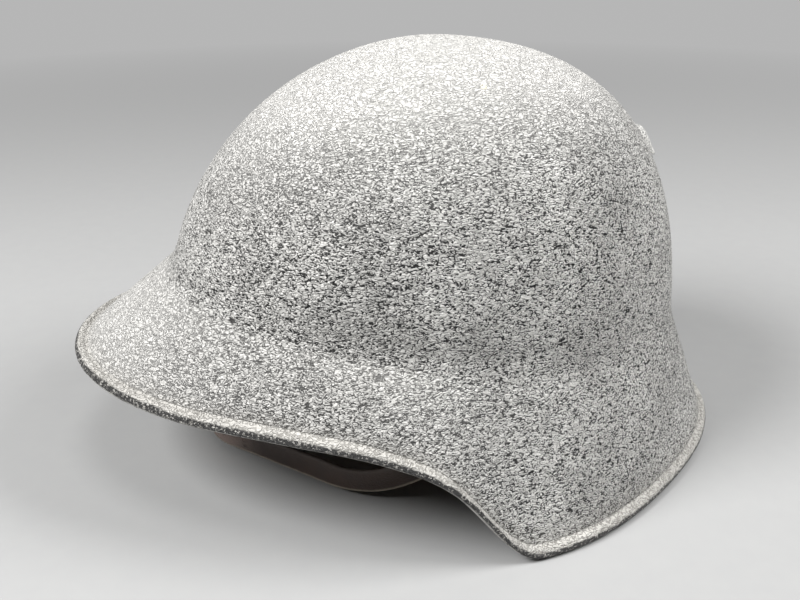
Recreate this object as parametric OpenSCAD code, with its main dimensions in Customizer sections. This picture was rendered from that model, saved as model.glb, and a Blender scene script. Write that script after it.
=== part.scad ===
/* [Shell] */
// Overall length over the rolled rim
shell_length = 302; // [280:1:320]
// Overall width over the rolled rim
shell_width = 245; // [236:1:260]
// Height of the crown above the table
shell_height = 181.5; // [174:0.5:188]
// Thickness of the steel sheet
sheet = 1.2; // [1:0.1:1.6]
// Radius of the rolled rim bead
bead_r = 2.7; // [2.2:0.1:3.2]

/* [Bowl] */
// Half width of the bowl where it is widest
bowl_half_width = 97.5; // [95:0.5:101]
// Reach of the bowl ahead of the middle
bowl_front = 111.5; // [108:0.5:114]
// Reach of the bowl behind the middle
bowl_rear = 124.5; // [123:0.5:130]
// Height of the bowl's widest section above the table
bowl_base = 53.5; // [49:0.5:55]
// Rearward shift of the crown
crown_shift = 15; // [11:0.5:18]

/* [Skirt and visor] */
// Height of the crease at the sides
crease_side = 75; // [70:0.5:80]
// How much higher the crease is at the front than at the side
crease_front_rise = 15; // [11:0.5:17]
// How much lower the crease is at the rear than at the side
crease_rear_drop = 15.5; // [13:0.5:17]
// How far the side skirt's bend stands out from a straight line between crease and rim
skirt_bulge = 4; // [0:0.25:6]
// Height of the rim's underside at the front
rim_front_z = 54.5; // [50:0.5:58]
// Height of the rim's underside beside the temples
rim_side_z = 46; // [42:0.5:50]
// Where the rim comes down to the table
rim_foot_y = 28; // [24:0.5:34]
// How far the rim's rear lies above the table
rim_rear_lift = 1.2; // [0:0.1:3]

/* [Vent] */
// Height of the vent hole's centre
vent_z = 133; // [122:0.5:140]
// Radius of the vent hole
vent_r = 3; // [2:0.25:4]
// Width of the vent hood
hood_width = 15; // [12:0.5:18]
// Length of the vent hood
hood_length = 17; // [14:0.5:20]
// How far the hood stands off the shell
hood_height = 4.2; // [3.4:0.1:5.5]
// Sheet thickness of the hood
hood_wall = 0.9; // [0.6:0.1:1.2]

/* [Liner] */
// Half width inside the headband
head_half_width = 77; // [74:0.5:78]
// Half length inside the headband
head_half_length = 99; // [96:0.5:100]
// Radius inside the headband at the brow and nape
head_end_r = 66; // [62:0.5:70]
// Distance of the head's middle behind the shell's middle
head_y = 12; // [10:0.5:14]
// Thickness of the headband leather
band_t = 2; // [1.6:0.1:2.6]
// Height of the headband
band_h = 30; // [26:0.5:34]
// Height of the headband's lower edge above the table
band_z = 58; // [58:0.5:62]
// Thickness of the hoop
hoop_t = 0.8; // [0.6:0.1:1.2]
// Height of the hoop
hoop_h = 16; // [13:0.5:18]
// Height of the hoop's lower edge above the headband's
hoop_lift = 5; // [4:0.5:7]
// Thickness of the tongue leather
tongue_t = 1.8; // [1.4:0.1:2.2]
// Number of tongues
tongue_count = 9; // [9:1:9]
// Gap between neighbouring tongues in degrees
tongue_gap = 4; // [3:0.5:8]
// Height of the tongues' tips above the table
tongue_top = 148; // [140:0.5:150]
// Radius of the hole left at the crown between the tips
crown_hole_r = 22; // [18:0.5:26]
// Radius of the crown lace
lace_r = 1.3; // [1:0.1:1.6]
// Height of the felt pads
pad_h = 24; // [18:0.5:26]
// Angle that the front and rear pads cover
pad_end_angle = 44; // [30:1:50]
// Angle that the side pads cover, beside the brackets
pad_side_angle = 26; // [20:1:28]

/* [Brackets and rivets] */
// Thickness of the bracket sheet
bracket_t = 1.5; // [1.2:0.1:1.8]
// Width of the brackets
bracket_w = 16; // [14:0.5:18]
// Height of the welded foot
foot_h = 14; // [10:0.5:18]
// Height of the foot's lower edge above the hoop's upper edge
foot_lift = 14; // [10:0.5:18]
// Radius of the liner rivets' shanks
rivet_r = 1.5; // [1.2:0.05:2]
// Radius of the liner rivets' heads
rivet_head_r = 3.6; // [3:0.1:4.5]
// Height of the liner rivets' heads
rivet_head_h = 1.1; // [0.8:0.1:1.6]

/* [Chinstrap] */
// Width of the strap
strap_w = 16; // [14:0.5:17]
// Thickness of the strap leather
strap_t = 2.2; // [1.8:0.1:2.6]
// Height of the chinstrap pivots above the table
pivot_z = 48; // [46:0.5:49]
// Radius of the pivot rivets' shanks
pivot_r = 2.5; // [2:0.1:3]
// Radius of the pivot rivets' heads
pivot_head_r = 5; // [4:0.1:6]
// Height of the pivot rivets' heads
pivot_head_h = 1.4; // [1:0.1:2]
// Thickness of the pivot washers
washer_t = 0.8; // [0.6:0.1:1.2]
// Forward reach of the strap's loop from the shell's middle
loop_front = 98; // [92:0.5:104]
// Radius of the loop's nose
nose_r = 26; // [22:0.5:30]
// Radius of the bend at each side of the loop
side_bend_r = 60; // [55:0.5:64]
// Angle of the strap below the horizontal where it leaves the pivot
strap_drop = 54; // [45:1:60]
// Length of the flat stretch below each pivot
tab_length = 14; // [12:0.5:17]

/* [Buckle and keeper] */
// Thickness of the buckle's bars
bar_t = 2; // [1.6:0.1:2.2]
// Length of the window that the strap rises through
buckle_rise = 6; // [6:0.25:7]
// Length of the window that the strap falls through
buckle_fall = 14; // [14:0.25:15]
// Width of the keeper along the strap
keeper_w = 8; // [6:0.5:10]
// Thickness of the keeper leather
keeper_t = 1.6; // [1.2:0.1:2]

/* [Fits] */
// Gap between pieces that lie against each other
seat_gap = 0.1; // [0.05:0.05:0.2]
// Gap between soft pieces and their neighbours
soft_gap = 0.3; // [0.2:0.05:0.4]
// Radial clearance of pins in their holes
pin_gap = 0.05; // [0.03:0.01:0.08]

/* [Hidden] */
$fn = 64;

// Colours
paint = [0.36, 0.38, 0.37];
bare_steel = [0.62, 0.62, 0.6];
strap_leather = [0.27, 0.14, 0.09];
liner_leather = [0.55, 0.38, 0.24];
felt = [0.45, 0.42, 0.36];
cord_grey = [0.7, 0.66, 0.56];

// Plan ovals run by angle p: 0 at the front, 90 at the wearer's left, 180 at the rear
bowl_middle = 1.6;
end_bulge = 0.032;
side_bulge = 0.1;
rim_middle = 15.6;
rim_front_flat = 0.057;
rim_rear_flat = 0.065;
flare_bend = 0.2;
rise = shell_height - bowl_base;
rim_half_length = shell_length / 2 - bead_r;
rim_half_width = shell_width / 2 - bead_r;
function oval(p, a, front, rear, front_flat, rear_flat) =
    let (reach = cos(p) > 0 ? front : rear,
         flat = rear_flat + (front_flat - rear_flat) * (0.5 + 0.5 * cos(p)))
    (1 - flat * pow(sin(2 * p), 2)) / sqrt(pow(sin(p) / a, 2) + pow(cos(p) / reach, 2));

// Bowl: angle t runs from 0 at the crown to 90 at the widest section
function bow(p, t) = 1 + (side_bulge + (end_bulge - side_bulge) * pow(cos(p), 2)) * pow(sin(2 * t), 2);
function bowl_height(p, t) = bowl_base + rise * cos(t) * bow(p, t);
function lean(z) = bowl_middle + crown_shift * pow(max(0, (z - bowl_base) / rise), 2);
function bowl_point(p, t) =
    let (r = oval(p, bowl_half_width, bowl_front, bowl_rear, 0, 0) * sin(t) * bow(p, t),
         z = bowl_height(p, t))
    [r * sin(p), lean(z) - r * cos(p), z];
function bowl_angle(p, z, low = 0, high = 90, steps = 20) =
    let (mid = (low + high) / 2)
    steps == 0 ? mid
    : bowl_height(p, mid) > z ? bowl_angle(p, z, mid, high, steps - 1)
    : bowl_angle(p, z, low, mid, steps - 1);
function unit(v) = v / norm(v);
// Point at the share u of the bend from a to b that the corner c pulls
function bend(a, c, b, u) = (1 - u) * (1 - u) * a + 2 * u * (1 - u) * c + u * u * b;
function bowl_normal(p, t) =
    unit(cross(bowl_point(p, t + 0.5) - bowl_point(p, t - 0.5),
               bowl_point(p + 0.5, t) - bowl_point(p - 0.5, t)));
// Point at depth d inside the bowl's outer surface, at the angle p and about the height z
function wall_point(p, z, d) = let (t = bowl_angle(p, z)) bowl_point(p, t) - d * bowl_normal(p, t);

// Crease between the bowl and the skirt, and the height over which it is rounded
function crease_z(p) = crease_side + (cos(p) > 0 ? crease_front_rise : crease_rear_drop) * cos(p);
function crease_round(p) = 9 - 2 * cos(p) + 2.5 * cos(2 * p);
// The skirt leaves the crease at a low slope and bends down halfway to the rim
function skirt_bend(p, c, r) =
    let (chord = unit(r - c))
    (c + r) / 2 + skirt_bulge * pow(sin(p), 2) * unit([0, 0, 1] - chord[2] * chord);

// Height of the rim's underside along the side view
trim_line = [[-148, rim_front_z], [-108, (2 * rim_front_z + rim_side_z) / 3],
    [-68, (rim_front_z + rim_side_z) / 2], [-33, rim_side_z], [-8, rim_side_z * 0.75],
    [rim_foot_y - 11.5, rim_side_z * 0.135], [rim_foot_y, 0], [rim_foot_y + 30, 0], [170, rim_rear_lift]];
function trim_slope(i) =
    i == 0 ? (trim_line[1][1] - trim_line[0][1]) / (trim_line[1][0] - trim_line[0][0])
    : i >= 6 ? 0
    : (trim_line[i + 1][1] - trim_line[i - 1][1]) / (trim_line[i + 1][0] - trim_line[i - 1][0]);
function trim_z(y, i = 0) =
    i < len(trim_line) - 2 && y > trim_line[i + 1][0] ? trim_z(y, i + 1)
    : let (a = trim_line[i], b = trim_line[i + 1], h = b[0] - a[0], u = min(1, max(0, (y - a[0]) / h)))
      (2 * u * u * u - 3 * u * u + 1) * a[1] + (u * u * u - 2 * u * u + u) * h * trim_slope(i)
      + (3 * u * u - 2 * u * u * u) * b[1] + (u * u * u - u * u) * h * trim_slope(i + 1);
function rim_point(p) =
    let (r = oval(p, rim_half_width, rim_half_length + rim_middle, rim_half_length - rim_middle,
                  rim_front_flat, rim_rear_flat),
         y = rim_middle - r * cos(p))
    [r * sin(p), y, trim_z(y) + bead_r];

// Outer face of the sheet for one column, from below the crown to the start of the rim bead
columns = 72;
bowl_rows = 12;
flare_rows = 6;
skirt_rows = 4;
bead_steps = 9;
function column_outer(p) =
    let (t_end = bowl_angle(p, crease_z(p) + crease_round(p)),
         a = bowl_point(p, t_end),
         c = bowl_point(p, bowl_angle(p, crease_z(p))),
         r = rim_point(p),
         m = skirt_bend(p, c, r),
         k = c + flare_bend * (m - c),
         e = r - bead_r * unit(r - m))
    concat([for (i = [1:bowl_rows]) bowl_point(p, t_end * i / bowl_rows)],
           [for (i = [1:flare_rows]) bend(a, c, k, i / flare_rows)],
           [for (i = [1:skirt_rows]) bend(k, m, e, i / skirt_rows)]);
outer = [for (i = [0:columns - 1]) column_outer(i * 360 / columns)];
outer_rows = bowl_rows + flare_rows + skirt_rows;
crown = [0, bowl_middle + crown_shift, shell_height];
function outer_at(i, j) = j < 0 ? crown : outer[(i + columns) % columns][min(j, outer_rows - 1)];
function outer_normal(i, j) =
    unit(cross(outer_at(i, j + 1) - outer_at(i, j - 1), outer_at(i + 1, j) - outer_at(i - 1, j)));
function column_all(i) =
    let (c = rim_point(i * 360 / columns),
         last = outer_at(i, outer_rows - 1),
         d = unit(c - last),
         n0 = outer_normal(i, outer_rows - 1),
         n = unit(n0 - (n0 * d) * d),
         sweep = 360 - asin(sheet / bead_r))
    concat([for (j = [0:outer_rows - 1]) outer_at(i, j)],
           [for (k = [1:bead_steps]) let (a = 180 - sweep * k / bead_steps)
               c + bead_r * (cos(a) * d + sin(a) * n)],
           [for (j = [outer_rows - 2:-1:0]) outer_at(i, j) - sheet * outer_normal(i, j)]);

module sheet_body() {
    all_columns = [for (i = [0:columns - 1]) column_all(i)];
    rows = len(all_columns[0]);
    points = concat([for (c = all_columns) for (q = c) q], [crown, crown - [0, 0, sheet]]);
    top = columns * rows;
    faces = concat(
        [for (i = [0:columns - 1]) let (n = (i + 1) % columns) for (j = [0:rows - 2])
            each [[i * rows + j, n * rows + j + 1, n * rows + j],
                  [i * rows + j, i * rows + j + 1, n * rows + j + 1]]],
        [for (i = [0:columns - 1]) let (n = (i + 1) % columns)
            each [[top, i * rows, n * rows], [top + 1, n * rows + rows - 1, i * rows + rows - 1]]]);
    polyhedron(points, faces);
}

// Frame on the shell's outer face at the vent: X across, Y down the wall, Z outward
vent_t = bowl_angle(180, vent_z);
vent_at = bowl_point(180, vent_t);
vent_out = bowl_normal(180, vent_t);
module on_vent() {
    translate(vent_at) rotate([-atan2(vent_out[1], vent_out[2]), 0, 0]) children();
}

module shell() {
    color(paint) difference() {
        sheet_body();
        on_vent() translate([0, 0, -3 * sheet]) cylinder(r = vent_r, h = 6 * sheet);
    }
}

// Pressed cowl, rounded at its upper end and open at its lower end
module vent_hood() {
    color(bare_steel) on_vent() translate([0, 0, seat_gap]) difference() {
        hood_dome(hood_width, hood_length, hood_height);
        translate([0, hood_wall, -0.001])
            hood_dome(hood_width - 2 * hood_wall, hood_length, hood_height - hood_wall);
    }
}
module hood_dome(w, l, h) {
    intersection() {
        translate([-w, -l / 2, 0]) cube([2 * w, l, 2 * h]);
        translate([0, l / 2, 0]) resize([w, 2 * l, 2 * h]) sphere(r = 10, $fn = 24);
    }
}

// Solid between two grids of points, each a list of columns; out is the face that looks outward
module slab(out, back) {
    m = len(out);
    n = len(out[0]);
    points = concat([for (c = out) for (q = c) q], [for (c = back) for (q = c) q]);
    s = m * n;
    faces = concat(
        [for (i = [0:m - 2]) for (j = [0:n - 2]) let (a = i * n + j, b = a + n)
            each [[a, b + 1, b], [a, a + 1, b + 1],
                  [s + a, s + b, s + b + 1], [s + a, s + b + 1, s + a + 1]]],
        [for (i = [0:m - 2]) let (a = i * n, b = a + n, c = a + n - 1, d = b + n - 1)
            each [[a, b, s + b], [a, s + b, s + a], [c, s + d, d], [c, s + c, s + d]]],
        [for (j = [0:n - 2]) let (a = j, b = (m - 1) * n + j)
            each [[a, s + a, s + a + 1], [a, s + a + 1, a + 1],
                  [b, s + b + 1, s + b], [b, b + 1, s + b + 1]]]);
    polyhedron(points, faces);
}

// Liner oval: two side arcs and two end arcs that meet at a tangent, grown outward by k
function side_r(k) = let (a = head_half_width, e = head_end_r, b = head_half_length)
    (a * a + (b - e) * (b - e) - e * e) / (2 * (a - e)) + k;
side_offset = side_r(0) - head_half_width;
end_offset = head_half_length - head_end_r;
join_angle = atan2(end_offset, side_offset);
// Liner oval in plan direction p from the head's middle: [distance, centre of the arc there]
function oval_hit(p, k) =
    let (u = [sin(p), -cos(p)],
         end_c = [0, (u[1] > 0 ? 1 : -1) * end_offset],
         side_c = [(u[0] > 0 ? -1 : 1) * side_offset, 0],
         e = end_c * u + sqrt(pow(end_c * u, 2) - end_c * end_c + pow(head_end_r + k, 2)),
         s = side_c * u + sqrt(pow(side_c * u, 2) - side_c * side_c + pow(side_r(k), 2)),
         hit = e * u - end_c)
    atan2(abs(hit[1]), abs(hit[0])) >= join_angle && hit[1] * u[1] > 0 ? [e, end_c] : [s, side_c];
function oval_reach(p, k) = oval_hit(p, k)[0];
// Band of thickness t and height h that stands on the liner oval
oval_steps = 144;
function oval_points(k) = [for (i = [0:oval_steps - 1])
    let (p = i * 360 / oval_steps, r = oval_reach(p, k)) [r * sin(p), -r * cos(p)]];
module oval_band(k, t, z, h) {
    translate([0, head_y, z]) linear_extrude(height = h) difference() {
        polygon(oval_points(k + t));
        polygon(oval_points(k));
    }
}

hoop_z = band_z + hoop_lift;
hoop_in = band_t + seat_gap;
hoop_out = hoop_in + hoop_t;
rivet_z = hoop_z + hoop_h / 2;

// Liner rivets by plan direction, in the gaps between the pads
rivet_pad_angle = 9;
rivet_end_angle = pad_end_angle / 2 + rivet_pad_angle;
rivet_side_angle = 20;
rivet_angles = [180 - rivet_end_angle, 180 + rivet_end_angle, -rivet_end_angle, rivet_end_angle,
    90 - rivet_side_angle, 90 + rivet_side_angle, 270 - rivet_side_angle, 270 + rivet_side_angle];
axis_angles = [0, 180, 90, 270];
// Puts a child on the headband's inner face in plan direction p, with X outward
module on_band(p, z) {
    hit = oval_hit(p, 0);
    at = hit[0] * [sin(p), -cos(p)];
    out = at - hit[1];
    translate([at[0], head_y + at[1], z]) rotate([0, 0, atan2(out[1], out[0])]) children();
}
// Rivet along local X: shank and two heads round a stack that begins at x = 0
module rivet(stack, r, head_r, head_h) {
    rotate([0, 90, 0]) {
        translate([0, 0, -seat_gap]) cylinder(r = r, h = stack + 2 * seat_gap);
        translate([0, 0, stack + seat_gap]) cylinder(r1 = head_r, r2 = head_r * 0.7, h = head_h);
        translate([0, 0, -seat_gap - head_h]) cylinder(r1 = head_r * 0.7, r2 = head_r, h = head_h);
    }
}
module rivet_hole() {
    rotate([0, 90, 0]) cylinder(r = rivet_r + pin_gap, h = 8 * bracket_t, center = true);
}
module rivet_holes() {
    for (p = concat(rivet_angles, axis_angles)) on_band(p, rivet_z) rivet_hole();
}

module hoop() {
    color(bare_steel) difference() {
        oval_band(hoop_in, hoop_t, hoop_z, hoop_h);
        rivet_holes();
    }
}
module headband() {
    color(liner_leather) difference() {
        oval_band(0, band_t, band_z, band_h);
        rivet_holes();
    }
}
module band_rivet(k) {
    color(bare_steel) on_band(rivet_angles[k], rivet_z)
        rivet(hoop_out, rivet_r, rivet_head_r, rivet_head_h);
}

// Strip of sheet along a path in the plane of one bracket
function path_normal(path, i) =
    let (a = path[max(0, i - 1)], b = path[i], c = path[min(len(path) - 1, i + 1)],
         u = i == 0 ? unit(c - b) : unit(b - a), v = i == len(path) - 1 ? u : unit(c - b),
         m = unit(u + v))
    [-m[1], m[0]] / (m * u);
function thicken(path, t) = concat(
    [for (i = [0:len(path) - 1]) path[i] + path_normal(path, i) * t / 2],
    [for (i = [len(path) - 1:-1:0]) path[i] - path_normal(path, i) * t / 2]);

plate_x = hoop_out + seat_gap;
foot_z = hoop_z + hoop_h + foot_lift;
weld_gap = 0.6;
// Path of a bracket: reach is the distance of the headband's inner face from the head's middle
function bracket_path(p, reach, low_z) =
    let (d = sheet + weld_gap + bracket_t / 2,
         top = wall_point(p, foot_z + foot_h, d),
         low = wall_point(p, foot_z, d),
         out = [sin(p) > 0.5 ? 1 : 0, sin(p) > 0.5 ? 0 : -cos(p)],
         far = function (q) (q[0] * out[0] + (q[1] - head_y) * out[1]),
         x = reach + plate_x + bracket_t / 2)
    [[far(top), top[2]], [far(low), low[2]], [x, hoop_z + hoop_h + bracket_t], [x, low_z]];
side_p = 96;
module bracket_strip(p, reach, low_z, turn) {
    translate([0, head_y, 0]) rotate([0, 0, turn]) rotate([90, 0, 0])
        linear_extrude(height = bracket_w, center = true)
        polygon(thicken(bracket_path(p, reach, low_z), bracket_t));
}
module end_bracket(s) {
    color(bare_steel) difference() {
        bracket_strip(s > 0 ? 180 : 0, head_half_length, hoop_z, s * 90);
        on_band(s > 0 ? 180 : 0, rivet_z) rivet_hole();
    }
}
module bracket_front() { end_bracket(-1); }
module bracket_rear() { end_bracket(1); }
lug_x = head_half_width + plate_x;
module bracket_left() {
    color(bare_steel) difference() {
        union() {
            bracket_strip(side_p, head_half_width, pivot_z, 0);
            translate([lug_x, head_y, pivot_z]) rotate([0, 90, 0])
                cylinder(r = bracket_w / 2, h = bracket_t);
        }
        on_band(90, rivet_z) rivet_hole();
        translate([lug_x, head_y, pivot_z]) rotate([0, 90, 0])
            cylinder(r = pivot_r + pin_gap, h = 4 * bracket_t, center = true);
    }
}
module bracket_right() { mirror([1, 0, 0]) bracket_left(); }
module bracket_rivet(p) {
    color(bare_steel) on_band(p, rivet_z) rivet(plate_x + bracket_t, rivet_r, rivet_head_r, rivet_head_h);
}

// Felt pads fill the space between the hoop and the shell
pad_gap = soft_gap + 0.2;
pad_drop = 3;
pad_side_start = 118;
pad_z = hoop_z - pad_drop;
function pad_outer(p, z) = wall_point(p, z, sheet + pad_gap);
function pad_inner(q) =
    let (p = atan2(q[0], -(q[1] - head_y)), r = oval_reach(p, hoop_out + pad_gap))
    [r * sin(p), head_y - r * cos(p), q[2]];
module pad(p0, p1) {
    out = [for (i = [0:8]) [for (j = [0:4])
        pad_outer(p0 + (p1 - p0) * i / 8, pad_z + pad_h * (1 - j / 4))]];
    back = [for (c = out) [for (q = c) pad_inner(q)]];
    color(felt) slab(out, back);
}
module pad_front() { pad_pair(0); }
module pad_rear() { pad_pair(180); }
// The end pads part round the bracket's leg, and a bridge below the leg joins the halves
pad_slot = [60, bracket_w + 2 * soft_gap, 80];
pad_bridge = pad_drop - 0.5 - soft_gap;
module pad_pair(p) {
    color(felt) difference() {
        pad(p - pad_end_angle / 2, p + pad_end_angle / 2);
        translate([0, head_y, 0]) rotate([0, 0, p - 90])
            translate([head_half_length - 20, -pad_slot[1] / 2, pad_z + pad_bridge]) cube(pad_slot);
    }
}
module pad_left() { pad(pad_side_start, pad_side_start + pad_side_angle); }
module pad_right() { mirror([1, 0, 0]) pad_left(); }

// Tongues rise from the headband and close over the head to the crown lace
tongue_foot = band_z + band_h - 9;
tongue_straight = band_z + band_h;
function tongue_curve(p, u, inset) =
    let (reach = oval_reach(p, -soft_gap - inset),
         high = tongue_top - inset,
         mid = 90 * max(0, (u - 0.15) / 0.85),
         r = crown_hole_r + (reach - crown_hole_r) * pow(cos(mid), 0.9),
         z = u < 0.15 ? tongue_foot + (tongue_straight - tongue_foot) * u / 0.15
             : tongue_straight + (high - tongue_straight) * pow(sin(mid), 0.95))
    [r * sin(p), head_y - r * cos(p), z];
tongue_rows = 10;
tongue_columns = 4;
function tongue_spread(u) = (180 / tongue_count - tongue_gap / 2) * (u < 0.9 ? 1 : 1 - 2.4 * (u - 0.9));
module tongue(k) {
    middle = (k - 0.5) * 360 / tongue_count;
    grid = function (inset) [for (i = [0:tongue_columns]) [for (j = [tongue_rows:-1:0])
        let (u = 0.97 * j / tongue_rows, a = tongue_spread(u) * (2 * i / tongue_columns - 1))
        tongue_curve(middle + a, u, inset)]];
    color(liner_leather) slab(grid(0), grid(tongue_t));
}
module crown_lace() {
    color(cord_grey) translate([0, head_y, tongue_top + soft_gap + lace_r])
        rotate_extrude($fn = 96) translate([crown_hole_r + 7 * lace_r, 0]) circle(r = lace_r, $fn = 24);
}

// Pivot stack: lug, strap, washer, inward along X
strap_x = lug_x - soft_gap - strap_t / 2;
washer_x = strap_x - strap_t / 2 - soft_gap - washer_t;
module pivot_rivet_left() {
    color(bare_steel) translate([washer_x, head_y, pivot_z])
        rivet(lug_x + bracket_t - washer_x, pivot_r, pivot_head_r, pivot_head_h);
}
module pivot_rivet_right() { mirror([1, 0, 0]) pivot_rivet_left(); }
module pivot_washer_left() {
    color(bare_steel) translate([washer_x, head_y, pivot_z]) rotate([0, 90, 0]) difference() {
        cylinder(r = pivot_head_r + 1, h = washer_t);
        translate([0, 0, -1]) cylinder(r = pivot_r + pin_gap, h = washer_t + 2);
    }
}
module pivot_washer_right() { mirror([1, 0, 0]) pivot_washer_left(); }

// Lengths by which stretches of one piece run into each other
join_overlap = 0.05;
// Loop in plan: nose arc, straight run at 45 degrees, side bend, and a rise to the pivot
buckle_half = strap_w / 2 + soft_gap + bar_t;
strap_z = buckle_half + 0.2;
run_from = [nose_r * sin(45), -loop_front + nose_r * (1 - cos(45))];
run_dir = [cos(45), sin(45)];
run_to_x = strap_x - side_bend_r * (1 - cos(45));
run_length = (run_to_x - run_from[0]) / run_dir[0];
run_end = run_from + run_dir * run_length;
tab_dir = [0, -cos(strap_drop), -sin(strap_drop)];
tab_end = [strap_x, head_y, pivot_z] + tab_length * tab_dir;
rise_end = [run_end[0], run_end[1], strap_z];
rise_lead = 24;
rise_points = [tab_end, tab_end + rise_lead * tab_dir,
    rise_end + rise_lead * [run_dir[0], run_dir[1], 0], rise_end];
function bezier(q, u) =
    pow(1 - u, 3) * q[0] + 3 * u * pow(1 - u, 2) * q[1] + 3 * u * u * (1 - u) * q[2] + pow(u, 3) * q[3];
function bezier_dir(q, u) =
    unit(pow(1 - u, 2) * (q[1] - q[0]) + 2 * u * (1 - u) * (q[2] - q[1]) + u * u * (q[3] - q[2]));
tab_up = [0, -sin(strap_drop), cos(strap_drop)];
rise_steps = 12;
function rise_ring(u) =
    let (c = bezier(rise_points, u), d = bezier_dir(rise_points, u),
         w0 = (1 - u) * tab_up + u * [0, 0, 1], w = unit(w0 - (w0 * d) * d), n = cross(d, w))
    [for (f = [[1, 1], [-1, 1], [-1, -1], [1, -1]]) c + f[0] * n * strap_t / 2 + f[1] * w * strap_w / 2];
module rise() {
    rings = [for (i = [0:rise_steps]) rise_ring(i / rise_steps)];
    points = [for (r = rings) for (q = r) q];
    faces = concat([[0, 2, 1], [0, 3, 2]],
        [for (i = [0:rise_steps - 1]) for (k = [0:3]) let (a = 4 * i + k, b = 4 * i + (k + 1) % 4)
            each [[a, b + 4, a + 4], [a, b, b + 4]]],
        [let (e = 4 * rise_steps) each [[e, e + 1, e + 2], [e, e + 2, e + 3]]]);
    polyhedron(points, faces);
}
tab_turn = strap_drop - 90;
module strap_tab() {
    translate([strap_x, head_y, pivot_z]) rotate([0, 90, 0]) difference() {
        union() {
            translate([0, 0, -strap_t / 2]) cylinder(r = strap_w / 2, h = strap_t);
            rotate([0, 0, tab_turn]) translate([0, -strap_w / 2, -strap_t / 2])
                cube([tab_length + join_overlap, strap_w, strap_t]);
        }
        translate([0, 0, -strap_t]) cylinder(r = pivot_r + pin_gap, h = 2 * strap_t);
    }
}
// Run frame: X along the run from the nose, Y outward, Z up, on the wearer's left
module on_run() {
    translate([run_from[0], run_from[1], strap_z]) rotate([0, 0, 45]) mirror([0, 1, 0]) children();
}
bar_gap = 0.2;
bar_y = strap_t / 2 + bar_gap + bar_t / 2;
bar_1 = 12;
bar_2 = bar_1 + bar_t + buckle_rise;
bar_3 = bar_2 + bar_t + buckle_fall;
over_y = bar_y + bar_t / 2 + bar_gap + strap_t / 2;
tail_y = -strap_t - soft_gap;
tail_end = run_length - 2;
ramp_in = bar_1 + bar_t + 0.6;
crest_end = bar_2 + bar_t + 0.3;
tail_path = [[ramp_in, 0], [ramp_in + over_y, over_y], [crest_end, over_y],
    [crest_end + over_y - tail_y, tail_y], [tail_end, tail_y]];
nose_steps = 24;
function run_point(x, y) = run_from + x * run_dir + y * [run_dir[1], -run_dir[0]];
loop_path = concat([run_point(run_length + join_overlap, 0)],
    [for (i = [0:nose_steps]) let (a = 45 - 90 * i / nose_steps)
        [nose_r * sin(a), -loop_front + nose_r * (1 - cos(a))]],
    [for (q = tail_path) let (r = run_point(q[0], q[1])) [-r[0], r[1]]]);
module strap_left() {
    color(strap_leather) {
        strap_tab();
        rise();
        translate([0, 0, strap_z - strap_w / 2])
            linear_extrude(height = strap_w) polygon(thicken(loop_path, strap_t));
    }
}
eye_x = bar_3 + bar_t / 2;
module strap_right() {
    color(strap_leather) mirror([1, 0, 0]) {
        strap_tab();
        rise();
        on_run() difference() {
            union() {
                translate([eye_x, -strap_t / 2, -strap_w / 2])
                    cube([run_length + join_overlap - eye_x, strap_t, strap_w]);
                translate([eye_x, bar_y, -strap_w / 2]) cylinder(r = bar_y + strap_t / 2, h = strap_w);
            }
            translate([eye_x, bar_y, -strap_w]) cylinder(r = bar_y - strap_t / 2, h = 2 * strap_w);
        }
    }
}
module buckle() {
    color(bare_steel) mirror([1, 0, 0]) on_run() {
        for (x = [bar_1, bar_2])
            translate([x, bar_y - bar_t / 2, -buckle_half]) cube([bar_t, bar_t, 2 * buckle_half]);
        translate([eye_x, bar_y, -buckle_half]) cylinder(r = bar_t / 2, h = 2 * buckle_half);
        for (z = [-buckle_half, buckle_half - bar_t]) translate([bar_1, bar_y - bar_t / 2, z])
            cube([eye_x - bar_1, bar_t, bar_t]);
    }
}
keeper_x = eye_x + 10;
module keeper() {
    low = tail_y - strap_t / 2 - soft_gap;
    high = strap_t / 2 + soft_gap;
    half = strap_w / 2 + soft_gap;
    color(strap_leather) mirror([1, 0, 0]) on_run() translate([keeper_x, 0, 0]) difference() {
        translate([-keeper_w / 2, low - keeper_t, -half - keeper_t])
            cube([keeper_w, high - low + 2 * keeper_t, 2 * half + 2 * keeper_t]);
        translate([-keeper_w, low, -half]) cube([2 * keeper_w, high - low, 2 * half]);
    }
}

shell();
vent_hood();
bracket_front();
bracket_rear();
bracket_left();
bracket_right();
hoop();
pad_front();
pad_rear();
pad_left();
pad_right();
headband();
for (k = [1:9]) tongue(k);
crown_lace();
bracket_rivet(0);  // bracket_rivet_front
bracket_rivet(180);  // bracket_rivet_rear
bracket_rivet(90);  // bracket_rivet_left
bracket_rivet(270);  // bracket_rivet_right
for (k = [1:8]) band_rivet(k - 1);
pivot_rivet_left();
pivot_rivet_right();
pivot_washer_left();
pivot_washer_right();
strap_left();
strap_right();
buckle();
keeper();
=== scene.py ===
import math
import random

import bmesh
import bpy
import numpy as np
from mathutils import Matrix, Vector


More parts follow.
